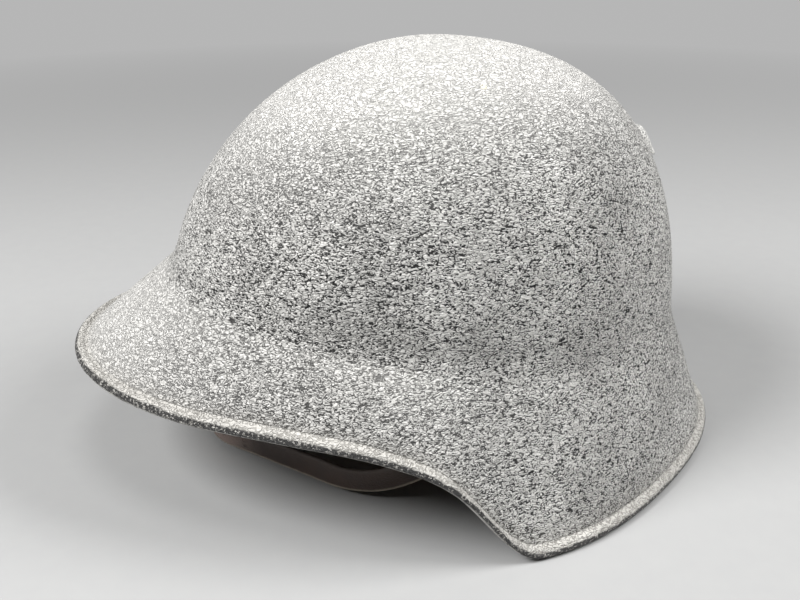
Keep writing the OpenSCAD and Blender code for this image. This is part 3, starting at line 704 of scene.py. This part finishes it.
def stitches(name, spots):
    """Rows of short thread stitches: each spot is (middle, along, outward), in millimetres."""
    points, faces = [], []
    for middle, along, out in spots:
        side = np.cross(along, out)
        start = len(points)
        for x, r in STITCH:
            lift = 0.22 - 0.35 * (abs(x) / STITCH[-1][0]) ** 3
            for q in round_angles(6):
                across = (lift + 0.8 * r * math.sin(q)) * out + r * math.cos(q) * side
                points.append((middle + x * along + across) * MM)
        faces += tube_faces(len(STITCH), 6, start=start)
    return add_mesh(name, points, faces)


def inner_stitch(at, out):
    """Level stitch at a point of an inner face, for the plan direction outward there."""
    return at, np.array([-out[1], out[0], 0]), -np.append(out, 0)


def band_stitches():
    p = np.arange(0, 2 * math.pi, math.radians(2.3))
    spot, out, _ = oval_spot(p, 0.0)
    return stitches("headband_stitches", [inner_stitch(np.append(spot[k], BAND_Z + 3.6), out[k])
                                          for k in range(len(p))])


TONGUE_COUNT = 9
TONGUE_HALF = math.radians(180 / TONGUE_COUNT - 2)
TONGUE_STRAIGHT = BAND_Z + BAND_H
TONGUE_FOOT = TONGUE_STRAIGHT - 9
TONGUE_STEM = 0.15


def tongue_curve(p, u, inset):
    """Points of a tongue in plan direction p, at the share u of its length, inset from its outer face."""
    _, _, reach = oval_spot(p, -SOFT_GAP - inset)
    high = TONGUE_TOP - inset
    mid = math.pi / 2 * np.clip((u - TONGUE_STEM) / (1 - TONGUE_STEM), 0, None)
    r = CROWN_HOLE_R + (reach - CROWN_HOLE_R) * np.cos(mid) ** 0.9
    z = np.where(u < TONGUE_STEM, TONGUE_FOOT + (TONGUE_STRAIGHT - TONGUE_FOOT) * u / TONGUE_STEM,
                 TONGUE_STRAIGHT + (high - TONGUE_STRAIGHT) * np.clip(np.sin(mid), 0, 1) ** 0.95)
    return np.stack([r * np.sin(p), HEAD_Y - r * np.cos(p), z], -1)


def tongue_spread(u):
    """Half the tongue's angle: full below, and closing in a round tip."""
    tip = np.clip((u - 0.84) / 0.13, 0, 1)
    return TONGUE_HALF * np.sqrt(np.clip(1 - 0.86 * tip ** 2.4, 0.02, 1))


def tongue_middle(k):
    return (k - 0.5) * 2 * math.pi / TONGUE_COUNT


def make_tongue(k):
    columns, rows = 19, 56
    wave = random.Random(40 + k)
    phase = [wave.uniform(0, 6.3) for _ in range(4)]
    u = 0.97 * np.linspace(0, 1, rows)[None, :]
    side = np.linspace(-1, 1, columns)[:, None]
    p = tongue_middle(k) + tongue_spread(u) * side + 0 * u
    outer = tongue_curve(p, u + 0 * side, 0.0)
    inner = tongue_curve(p, u + 0 * side, TONGUE_T)
    across = unit(np.gradient(outer, axis=0))
    along = unit(np.gradient(outer, axis=1))
    inward = facing(np.cross(across, along), inner - outer)
    free = np.clip((u - TONGUE_STEM) / 0.3, 0, 1) * np.clip((0.9 - u) / 0.2, 0.25, 1)
    # The free middle of a tongue sags inward and cups a little across its width
    dip = free * (0.5 * np.sin(5 * u + phase[0]) + 0.35 * np.sin(11 * u + phase[1]) + 0.9 * side ** 2 - 0.3
                  + 0.3 * side * np.sin(6 * u + phase[2]))
    dip = np.clip(dip, 0, None)
    edge_round = 0.42 * TONGUE_T * np.clip((np.abs(side) - 0.93) / 0.07, 0, 1) ** 2
    outer = outer + (dip + edge_round)[..., None] * inward
    inner = outer + (TONGUE_T - 2 * edge_round)[..., None] * inward
    obj = slab(f"leather_tongue_{k}", outer, inner)
    rim = np.maximum(np.clip((np.abs(side) - 0.88) / 0.12, 0, 1), np.clip((u - 0.94) / 0.03, 0, 1)) + 0 * u
    put_attribute(obj, "edge", np.tile(rim.reshape(-1), 2))
    return obj


def tongue_stitches():
    spots = []
    for k in range(1, TONGUE_COUNT + 1):
        for a in np.linspace(-0.84, 0.84, 13):
            p = np.array([tongue_middle(k) + a * TONGUE_HALF])
            for u in (0.035, 0.08):
                at = tongue_curve(p, np.array([u]), TONGUE_T)[0]
                spots.append(inner_stitch(at, oval_spot(p, 0.0)[1][0]))
    return stitches("tongue_stitches", spots)


# Leather strips swept along a route
def strip_section(columns):
    """Offsets (across, outward) of a strip's section of width 1 and half thickness 1, with rounded edges."""
    a = np.linspace(-1, 1, columns)
    thick = (1 - np.abs(a) ** 9) ** 0.5
    top = np.stack([a / 2, thick], 1)
    low = np.stack([a[::-1] / 2, -thick[::-1]], 1)[1:-1]
    return np.concatenate([top, low])


def resample(path, step):
    """Points at an even step along a polyline in the first three columns, and the length up to each."""
    steps = np.linalg.norm(np.diff(path[:, :3], axis=0), axis=1)
    s = np.concatenate([[0], np.cumsum(steps)])
    keep = np.concatenate([[True], steps > 1e-6])
    at = np.linspace(0, s[-1], max(3, int(s[-1] / step)))
    return np.stack([np.interp(at, s[keep], path[keep, k]) for k in range(path.shape[1])], 1), at


def smooth_path(path):
    """Corners cut twice, with the two ends kept."""
    for _ in range(2):
        pairs = np.stack([0.75 * path[:-1] + 0.25 * path[1:], 0.25 * path[:-1] + 0.75 * path[1:]], 1)
        path = np.concatenate([path[:1], pairs.reshape(-1, path.shape[1])[1:-1], path[-1:]])
    return path


def sweep(name, path, width_dir, out_dir, width, half, close=False, columns=13):
    """Leather strip along a path, where its width may change, with the attributes that its leather reads."""
    n = len(path)
    width = np.broadcast_to(width, n)
    ring = strip_section(columns)
    tangent = unit(np.gradient(path, axis=0))
    out = unit(out_dir - (out_dir * tangent).sum(-1, keepdims=True) * tangent)
    w = facing(np.cross(tangent, out), width_dir)
    section = ring[None, :, :1] * width[:, None, None] * w[:, None, :]
    section = section + ring[None, :, 1:] * half * out[:, None, :]
    obj = tube(name, path, section, closed=close)
    put_attribute(obj, "edge", np.tile(np.clip((np.abs(2 * ring[:, 0]) - 0.80) / 0.2, 0, 1), n))
    put_attribute(obj, "across", np.tile(2 * ring[:, 0], n))
    # Paler round the nose of the loop
    nose = np.hypot(path[:, 0], path[:, 1] + LOOP_FRONT)
    put_attribute(obj, "pale_nose", np.repeat(np.exp(-(nose / 32) ** 4), len(ring)))
    return obj


# Chinstrap route, the same as the solid's: nose of the loop, run at 45 degrees, and rise to the pivot
EIGHTH = math.pi / 4
MIRROR = np.array([-1, 1, 1])
RUN_DIR = np.array([math.cos(EIGHTH), math.sin(EIGHTH), 0])
RUN_OUT = np.array([RUN_DIR[1], -RUN_DIR[0], 0])
RUN_FROM = np.array([NOSE_R * math.sin(EIGHTH), NOSE_R * (1 - math.cos(EIGHTH)) - LOOP_FRONT, STRAP_Z])
RUN_LENGTH = (STRAP_X - SIDE_BEND_R * (1 - math.cos(EIGHTH)) - RUN_FROM[0]) / RUN_DIR[0]
RUN_END = RUN_FROM + RUN_LENGTH * RUN_DIR
STRAP_DROP = math.radians(54)
TAB_DIR = np.array([0, -math.cos(STRAP_DROP), -math.sin(STRAP_DROP)])
TAB_UP = np.array([0, -math.sin(STRAP_DROP), math.cos(STRAP_DROP)])
PIVOT = np.array([STRAP_X, HEAD_Y, PIVOT_Z])
TAB_LENGTH = 14.0
BEND_REACH = 24.0
# Buckle bars, the eye of the short strap and the keeper, along the run and outward from it
BAR_T = 2.0
BAR_Y = STRAP_T / 2 + 0.2 + BAR_T / 2
BAR_1 = 12.0
BAR_2 = 20.0
EYE_X = 37.0
OVER_Y = BAR_Y + BAR_T / 2 + 0.2 + STRAP_T / 2
TAIL_Y = -STRAP_T - SOFT_GAP
TAIL_TAPER = 6.0
KEEPER_X = 47.0
KEEPER_W = 8.0
KEEPER_T = 1.6
KEEPER_CORNER = 2.2


def rise_route():
    """From the rounded end round the pivot to the start of the straight run: points and width directions."""
    start = PIVOT - STRAP_W / 2 * TAB_DIR
    tab_end = PIVOT + TAB_LENGTH * TAB_DIR
    q = [tab_end, tab_end + BEND_REACH * TAB_DIR, RUN_END + BEND_REACH * RUN_DIR, RUN_END]
    points = [start + s * (tab_end - start) for s in np.linspace(0, 1, 24)[:-1]]
    ways = [TAB_UP] * len(points)
    for u in np.linspace(0, 1, 48):
        v = 1 - u
        points.append(v ** 3 * q[0] + 3 * u * v ** 2 * q[1] + 3 * u * u * v * q[2] + u ** 3 * q[3])
        ways.append(v * TAB_UP + u * np.array([0, 0, 1]))
    return np.array(points), np.array(ways)


# Where the loose side leans fully and not at all, and how many points of its tab don't lean
LEAN_FULL_X = -10
LEAN_NONE_X = -44
TAB_POINTS = 12


def hang_freely(points, ways):
    """Lean and lift of the loose side: full along its run, none where the buckle holds the strap."""
    for k, spot in enumerate(points):
        share = np.clip((spot[0] - LEAN_NONE_X) / (LEAN_FULL_X - LEAN_NONE_X), 0, 1)
        share = share * np.clip((PIVOT_Z - spot[2]) / (PIVOT_Z - STRAP_Z), 0, 1)
        share = share * share * (3 - 2 * share)
        if k < TAB_POINTS or spot[1] > HEAD_Y:
            share = 0
        points[k] = spot + share * np.array([0, LOOP_PULL, LOOP_LIFT])
        ways[k] = unit(ways[k] * math.cos(share * LOOP_LEAN) + RUN_OUT * math.sin(share * LOOP_LEAN))


def run_spot(x, y):
    """Point of the run on the wearer's left: x from the nose, y outward."""
    return RUN_FROM + x * RUN_DIR + y * RUN_OUT


def strap_course(points, ways, wave_seed):
    """Even points along a strap, its width and outward directions, its uneven width and the length so far."""
    data, at = resample(np.concatenate([points, ways], 1), 1.2)
    path, width_dir = data[:, :3], unit(data[:, 3:6])
    out = unit(np.cross(width_dir, unit(np.gradient(path, axis=0))))
    r = STRAP_W / 2
    rounded = np.sqrt(np.clip(r ** 2 - (r - at) ** 2, 0.3, None)) / r
    wave = random.Random(wave_seed)
    waver = 1 + 0.012 * np.sin(at / 9 + wave.uniform(0, 6)) + 0.01 * np.sin(at / 4.1 + wave.uniform(0, 6))
    return path, width_dir, out, STRAP_W * np.where(at < r, rounded, waver), at


def strap_route(middle):
    """Route and width directions of a strap: down from the pivot, then along the middle points."""
    points, ways = rise_route()
    points = np.concatenate([points, middle])
    return points, np.concatenate([ways, np.tile([0, 0, 1.0], (len(middle), 1))])


def make_left_strap():
    middle = [run_spot(x, 0) for x in np.linspace(RUN_LENGTH, 0, 30)[1:]]
    for a in np.linspace(math.pi / 4, -math.pi / 4, 36)[1:]:
        middle.append(np.array([NOSE_R * math.sin(a), NOSE_R * (1 - math.cos(a)) - LOOP_FRONT, STRAP_Z]))
    # Through the buckle: over the second bar and back under, so that the tail lies inside
    over, under = BAR_1 + 2.6, BAR_2 + 2.3
    weave = np.array([[0, 0], [over, 0], [over + OVER_Y, OVER_Y], [under, OVER_Y],
                      [under + OVER_Y - TAIL_Y, TAIL_Y], [RUN_LENGTH - 2, TAIL_Y]])
    for x, y in smooth_path(resample(weave, 1.6)[0])[1:]:
        middle.append(run_spot(x, y) * MIRROR)
    points, ways = strap_route(middle)
    hang_freely(points, ways)
    path, width_dir, out, width, at = strap_course(points, ways, 5)
    left = at[-1] - at
    taper = np.sqrt(np.clip(1 - ((TAIL_TAPER - left) / TAIL_TAPER) ** 2 * 0.75, 0.05, 1))
    width = width * np.where(left < TAIL_TAPER, taper, 1)
    return sweep("chinstrap_long", path, width_dir, out, width, STRAP_T / 2)


def make_right_strap():
    middle = [run_spot(x, 0) for x in np.linspace(RUN_LENGTH, EYE_X, 16)[1:]]
    for a in np.linspace(-math.pi / 2, -math.pi * 1.86, 34)[1:]:
        middle.append(run_spot(EYE_X + BAR_Y * math.cos(a), BAR_Y + BAR_Y * math.sin(a)))
    path, width_dir, out, width, _ = strap_course(*strap_route(middle), 9)
    return sweep("chinstrap_short", path * MIRROR, width_dir * MIRROR, out * MIRROR, width, STRAP_T / 2)


def make_keeper():
    """Loop of leather with rounded corners round the strap and its tail."""
    low = TAIL_Y - STRAP_T / 2 - SOFT_GAP - KEEPER_T / 2
    high = STRAP_T / 2 + SOFT_GAP + KEEPER_T / 2
    half = STRAP_W / 2 + SOFT_GAP + KEEPER_T / 2
    r = KEEPER_CORNER
    loop = []
    for cy, cz, turn in ((high - r, half - r, 0), (low + r, half - r, 90), (low + r, r - half, 180),
                         (high - r, r - half, 270)):
        for a in np.radians(np.linspace(turn, turn + 90, 9)):
            loop.append((cy + r * math.cos(a), cz + r * math.sin(a)))
    loop.append(loop[0])
    flat = resample(np.array(loop), 0.8)[0][:-1]
    path = np.array([run_spot(KEEPER_X, y) + [0, 0, z] for y, z in flat])
    middle = run_spot(KEEPER_X, (low + high) / 2)
    out = facing(np.cross(RUN_DIR, np.roll(path, -1, 0) - np.roll(path, 1, 0)), path - middle)
    return sweep("keeper_loop", path * MIRROR, RUN_DIR * MIRROR, out * MIRROR, KEEPER_W, KEEPER_T / 2,
                 close=True, columns=9)


# Where the lace crosses a tongue, as a share of its length, and the turns of its strands
LACE_AT = 0.945
LACE_TURNS = 60


def make_lace():
    """Cord of two strands laced through the tongues' tips."""
    p = round_angles(720)
    phase = (p * TONGUE_COUNT / (2 * math.pi)) % 1
    over = np.clip(np.cos(2 * math.pi * (phase - 0.5)) * 1.8, -1, 1)
    top = tongue_curve(p, np.full_like(p, LACE_AT), 0.0)
    inner = tongue_curve(p, np.full_like(p, LACE_AT), TONGUE_T)
    middle = (top + inner) / 2
    path = middle + (top - inner) / TONGUE_T * (over * (TONGUE_T / 2 + LACE_R + 0.15))[:, None]
    tangent = unit(np.roll(path, -1, 0) - np.roll(path, 1, 0))
    side = unit(np.cross(tangent, np.array([0, 0, 1.0])))
    lift = np.cross(side, tangent)
    q = round_angles(16)
    r = LACE_R * 0.78 * (1 + 0.25 * np.cos(2 * (q[None, :] - p[:, None] * LACE_TURNS)))
    section = (r * np.cos(q))[..., None] * side[:, None, :] + (r * np.sin(q))[..., None] * lift[:, None, :]
    return tube("crown_cord", path, section, closed=True)


# Felt pads between the hoop and the shell
PAD_GAP = SOFT_GAP + 0.2
PAD_Z = HOOP_Z - 3
PAD_H = 24.0


def pad_mesh(name, p, top, seed):
    """Pad over the plan angles p, each with its own top height, rounded at its edges."""
    rows = 15
    noise = random.Random(seed)
    bumps = [(noise.uniform(2, 9), noise.uniform(0, 6.3), noise.uniform(0.2, 0.8)) for _ in range(5)]
    v = np.linspace(0, 1, rows)
    grid_out, grid_in = [], []
    for i, angle in enumerate(p):
        z = PAD_Z + 0.3 + (top[i] - 0.6) * v
        a = np.full(rows, angle)
        out = wall_point(a, z, SHEET + PAD_GAP)
        q = np.arctan2(out[:, 0], -(out[:, 1] - HEAD_Y))
        spot, _, _ = oval_spot(q, HOOP_OUT + PAD_GAP)
        back = np.concatenate([spot, z[:, None]], 1)
        rim = np.minimum(np.minimum(v, 1 - v) * top[i], np.minimum(i, len(p) - 1 - i) * 1.6)
        pinch = 0.28 * np.clip(1 - rim / 3.0, 0, 1) ** 2
        swell = sum(0.12 * s * np.sin(f * angle * 4 + h + 3 * v * s) for f, h, s in bumps)
        across = back - out
        grid_out.append(out + across * pinch[:, None] + unit(across) * (0.15 + 0.1 * swell)[:, None])
        grid_in.append(back - across * pinch[:, None])
    obj = slab(name, np.array(grid_out), np.array(grid_in))
    return obj


PAD_END_HALF = math.radians(22)
PAD_SIDES = (118, 144)
# Half the slot for a bracket's leg, the height of the bridge below it, and the columns of each part
PAD_SLOT = 8.5
PAD_BRIDGE = 2.3
PAD_WING, PAD_MIDDLE = 22, 11


def end_pad(name, centre, seed):
    """Pad that parts round a bracket's leg, over a bridge below it."""
    slot = math.asin(PAD_SLOT / (HEAD_HALF_LENGTH + 6))
    side = np.linspace(slot + 0.012, PAD_END_HALF, PAD_WING)
    p = np.concatenate([-side[::-1], np.linspace(-slot, slot, PAD_MIDDLE), side]) + centre
    top = np.full(len(p), PAD_H)
    top[PAD_WING:PAD_WING + PAD_MIDDLE] = PAD_BRIDGE
    return pad_mesh(name, p, top, seed)


def side_pad(name, sign, seed):
    p = np.radians(np.linspace(*PAD_SIDES, 26)) * sign
    return pad_mesh(name, p, np.full(len(p), PAD_H), seed)


# Rivets with domed heads in place of the plain ones
RIVET_TURN = 28


def make_rivet(name, at, out, stack, sizes):
    """Lathe about the direction out, from the point at on the inner face of a stack of that thickness."""
    r, head_r, head_h = sizes
    half = [(0.0, -0.1 - head_h)]
    for q in np.linspace(0, math.pi / 2, 9)[1:]:
        half.append((head_r * math.sin(q), -0.1 - head_h * math.cos(q) ** 0.9))
    half += [(head_r, -0.05), (r, -0.05)]
    profile = half + [(radius, stack - x) for radius, x in half[::-1]]
    side = unit(np.cross(out, [0, 0, 1.0]))
    up = np.cross(side, out)
    ring = [math.cos(q) * side + math.sin(q) * up for q in round_angles(RIVET_TURN)]
    points = [at + profile[0][1] * out]
    for radius, x in profile[1:-1]:
        points += [at + x * out + radius * way for way in ring]
    points.append(at + profile[-1][1] * out)
    last = len(points) - 1
    faces = grid_faces(len(profile) - 2, RIVET_TURN, wrap_rows=True, start=1)
    for k in range(RIVET_TURN):
        m = (k + 1) % RIVET_TURN
        faces.append((0, 1 + m, 1 + k))
        faces.append((last, last - RIVET_TURN + k, last - RIVET_TURN + m))
    return add_mesh(name, np.array(points) * MM, faces)


# Shank radius, head radius and head height
LINER_RIVET = (1.5, 3.6, 1.1)
PIVOT_RIVET = (2.5, 5.0, 1.4)
WASHER_X = STRAP_X - STRAP_T / 2 - SOFT_GAP - WASHER_T
LUG_X = HEAD_HALF_WIDTH + PLATE_X
# Headband rivets stand beyond the end pads and beside the side brackets
RIVET_END = 31.0
RIVET_SIDE = 20.0
BAND_RIVETS = (180 - RIVET_END, 180 + RIVET_END, -RIVET_END, RIVET_END,
               90 - RIVET_SIDE, 90 + RIVET_SIDE, 270 - RIVET_SIDE, 270 + RIVET_SIDE)
BRACKET_RIVETS = {"front": 0.0, "rear": 180.0, "left": 90.0, "right": -90.0}


def make_rivets():
    places = [(f"band_rivet_{k + 1}", angle, HOOP_OUT) for k, angle in enumerate(BAND_RIVETS)]
    for side, angle in BRACKET_RIVETS.items():
        places.append((f"bracket_rivet_{side}", angle, PLATE_X + BRACKET_T))
    made = []
    for node, angle, stack in places:
        spot, out, _ = oval_spot(np.array([math.radians(angle)]), 0.0)
        at = np.append(spot[0], HOOP_Z + HOOP_H / 2)
        made.append((make_rivet("domed_" + node, at, np.append(out[0], 0.0), stack, LINER_RIVET), node))
    for side, sign in (("left", 1), ("right", -1)):
        at = np.array([sign * WASHER_X, HEAD_Y, PIVOT_Z])
        piece = make_rivet(f"domed_pivot_{side}", at, np.array([sign, 0, 0.0]), LUG_X + BRACKET_T - WASHER_X,
                           PIVOT_RIVET)
        made.append((piece, f"pivot_rivet_{side}"))
    return made


def finish_node(name, material, edge):
    """Steel finish and broken edges for a plain metal node that stays."""
    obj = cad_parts[name]
    if not obj.material_slots:
        obj.data.materials.append(material)
    for spot in obj.material_slots:
        spot.material = material
    bevel = obj.modifiers.new("broken_edges", "BEVEL")
    bevel.width = edge * MM
    bevel.segments = 3
    bevel.limit_method = "ANGLE"
    bevel.angle_limit = math.radians(40)


def make_helmet():
    dress(pierce_vent(make_shell()), shell_paint(), "helmet", "shell_paint", "shell")
    dress(make_hood(), hood_paint(), "helmet", "hood_steel", "vent_hood")
    tan_leather = leather("liner_leather", (0.16, 0.085, 0.04), (0.30, 0.17, 0.085), (0.12, 0.065, 0.035),
                          800, 0.55)
    dress(make_headband(), tan_leather, "helmet", "liner_leather", "headband")
    for k in range(1, TONGUE_COUNT + 1):
        dress(make_tongue(k), tan_leather, "helmet", "liner_leather", f"tongue_{k}")
    thread = linen_thread()
    for piece in (band_stitches(), tongue_stitches()):
        dress(piece, thread, "helmet", "lace")
    # Strap leather near black: dark brown leather and painted shade from the helmet above it; its lighter
    # edges and lower side are wear and painted light
    shaded_brown_leather = leather("strap_leather", (0.018, 0.012, 0.01), (0.055, 0.034, 0.025), (0.30, 0.26, 0.21),
                            1100, 0.5, (0.27, 0.205, 0.18))
    dress(make_left_strap(), shaded_brown_leather, "chinstrap", "strap_leather", "strap_left")
    dress(make_right_strap(), shaded_brown_leather, "chinstrap", "strap_leather", "strap_right")
    dress(make_keeper(), shaded_brown_leather, "keeper", "strap_leather", "keeper")
    dress(make_lace(), lace_cotton(), "helmet", "lace", "crown_lace")
    felt = felt_cloth()
    pads = {"front": end_pad("felt_front", 0.0, 11), "rear": end_pad("felt_rear", math.pi, 12),
            "left": side_pad("felt_left", 1, 13), "right": side_pad("felt_right", -1, 14)}
    for side, pad in pads.items():
        dress(pad, felt, "helmet", "felt", f"pad_{side}")
    liner_steel = dull_steel("liner_steel", (0.36, 0.36, 0.34))
    for piece, node in make_rivets():
        dress(piece, liner_steel, "helmet", "liner_steel", node)
    finish_node("buckle", dull_steel("buckle_steel", (0.5, 0.48, 0.44), 0.5), 0.45)
    for name in ("hoop", "bracket_front", "bracket_rear", "bracket_left", "bracket_right",
                 "pivot_washer_left", "pivot_washer_right"):
        finish_node(name, liner_steel, 0.15)


# Camera at the photograph's viewpoint
AZIMUTH = math.radians(78.6)
ELEVATION = math.radians(23.7)
ROLL = math.radians(-0.5)
DISTANCE = 0.4375
TARGET = Vector((0, -0.0031, 0.0621))
LENS = 41.55


def make_camera():
    back = Vector((math.sin(AZIMUTH) * math.cos(ELEVATION),
                   -math.cos(AZIMUTH) * math.cos(ELEVATION), math.sin(ELEVATION)))
    right = (-back).cross(Vector((0, 0, 1))).normalized()
    up = right.cross(-back)
    x = right * math.cos(ROLL) + up * math.sin(ROLL)
    y = -right * math.sin(ROLL) + up * math.cos(ROLL)
    data = bpy.data.cameras.new("camera")
    data.lens = LENS
    data.sensor_width = 36
    data.clip_start = 0.01
    obj = add_object("camera", data)
    turn = Matrix((x, y, back)).transposed().to_4x4()
    obj.matrix_world = Matrix.Translation(TARGET + back * DISTANCE) @ turn
    bpy.context.scene.camera = obj


# Tone of the backdrop and of the far floor
BACKGROUND = (0.47, 0.47, 0.47, 1.0)


def seen_share(tree):
    """Socket that is 1 for rays from the camera, in mirrors and through glass, and 0 for light."""
    path = tree.nodes.new("ShaderNodeLightPath")
    share = path.outputs["Is Camera Ray"]
    for ray in ("Is Glossy Ray", "Is Transmission Ray"):
        add = tree.nodes.new("ShaderNodeMath")
        add.operation = "MAXIMUM"
        tree.links.new(share, add.inputs[0])
        tree.links.new(path.outputs[ray], add.inputs[1])
        share = add.outputs[0]
    return share


# Radius of the floor, and the distances over which it fades into the background, in metres
FLOOR_RADIUS = 4.0
FLOOR_FADE = (0.4, 1.3)


def make_floor():
    """Round flat floor with rings that widen outward."""
    rings, steps = 24, 96
    points = [(0, 0, 0)]
    for i in range(1, rings + 1):
        r = FLOOR_RADIUS * (i / rings) ** 1.5
        points += [(r * math.cos(q), r * math.sin(q), 0) for q in round_angles(steps)]
    faces = [(0, 1 + k, 1 + (k + 1) % steps) for k in range(steps)]
    faces += [face[::-1] for face in grid_faces(rings, steps, wrap_rows=True, start=1)]
    return add_mesh("studio_floor", points, faces)


def make_stage():
    floor = make_floor()
    s = Shader("pale_floor")
    tone = s.mix(s.noise(90, 3, 0.6), (0.33, 0.33, 0.33), (0.35, 0.35, 0.346))
    floor.data.materials.append(s.finish(tone, 0.8))
    # Far from the object the floor is seen in the background's own tone
    far = s.node("VectorMath", {0: s.place}, operation="LENGTH").outputs["Value"]
    glow = s.node("Emission", {"Color": BACKGROUND}).outputs[0]
    share = s.times(seen_share(s.tree), s.fit(far, *FLOOR_FADE))
    blend = s.node("MixShader", {"Fac": share, 1: s.bsdf.outputs[0], 2: glow}).outputs[0]
    s.link(blend, s.tree.nodes["Material Output"].inputs["Surface"])


# Place and diameter in metres, power in watts
LAMPS = {
    "top_softbox": ((0.4, 0, 1.5), 0.5, 7),
    "front_softbox": ((0.32, -1.06, 1.12), 0.7, 36),
    "rear_softbox": ((0.32, 1.06, 1.08), 0.7, 24),
}
LAMP_AIM = Vector((0, 0, 0.08))
WORLD_LIGHT = 0.03


def make_light():
    for name, (place, size, power) in LAMPS.items():
        data = bpy.data.lights.new(name, "AREA")
        data.shape = "DISK"
        data.size = size
        data.energy = power
        obj = add_object(name, data)
        obj.location = place
        obj.rotation_euler = (LAMP_AIM - Vector(place)).to_track_quat("-Z", "Y").to_euler()
    world = bpy.data.worlds.new("studio_world")
    bpy.context.scene.world = world
    world.use_nodes = True
    nodes, links = world.node_tree.nodes, world.node_tree.links
    back = nodes["Background"]
    back.inputs["Color"].default_value = (1, 1, 1, 1)
    back.inputs["Strength"].default_value = WORLD_LIGHT
    seen = nodes.new("ShaderNodeBackground")
    seen.inputs["Color"].default_value = BACKGROUND
    mix = nodes.new("ShaderNodeMixShader")
    for k, socket in enumerate((seen_share(world.node_tree), back.outputs[0], seen.outputs[0])):
        links.new(socket, mix.inputs[k])
    links.new(mix.outputs[0], nodes["World Output"].inputs["Surface"])


make_helmet()
make_camera()
make_stage()
make_light()
bpy.context.scene.view_settings.view_transform = "Standard"
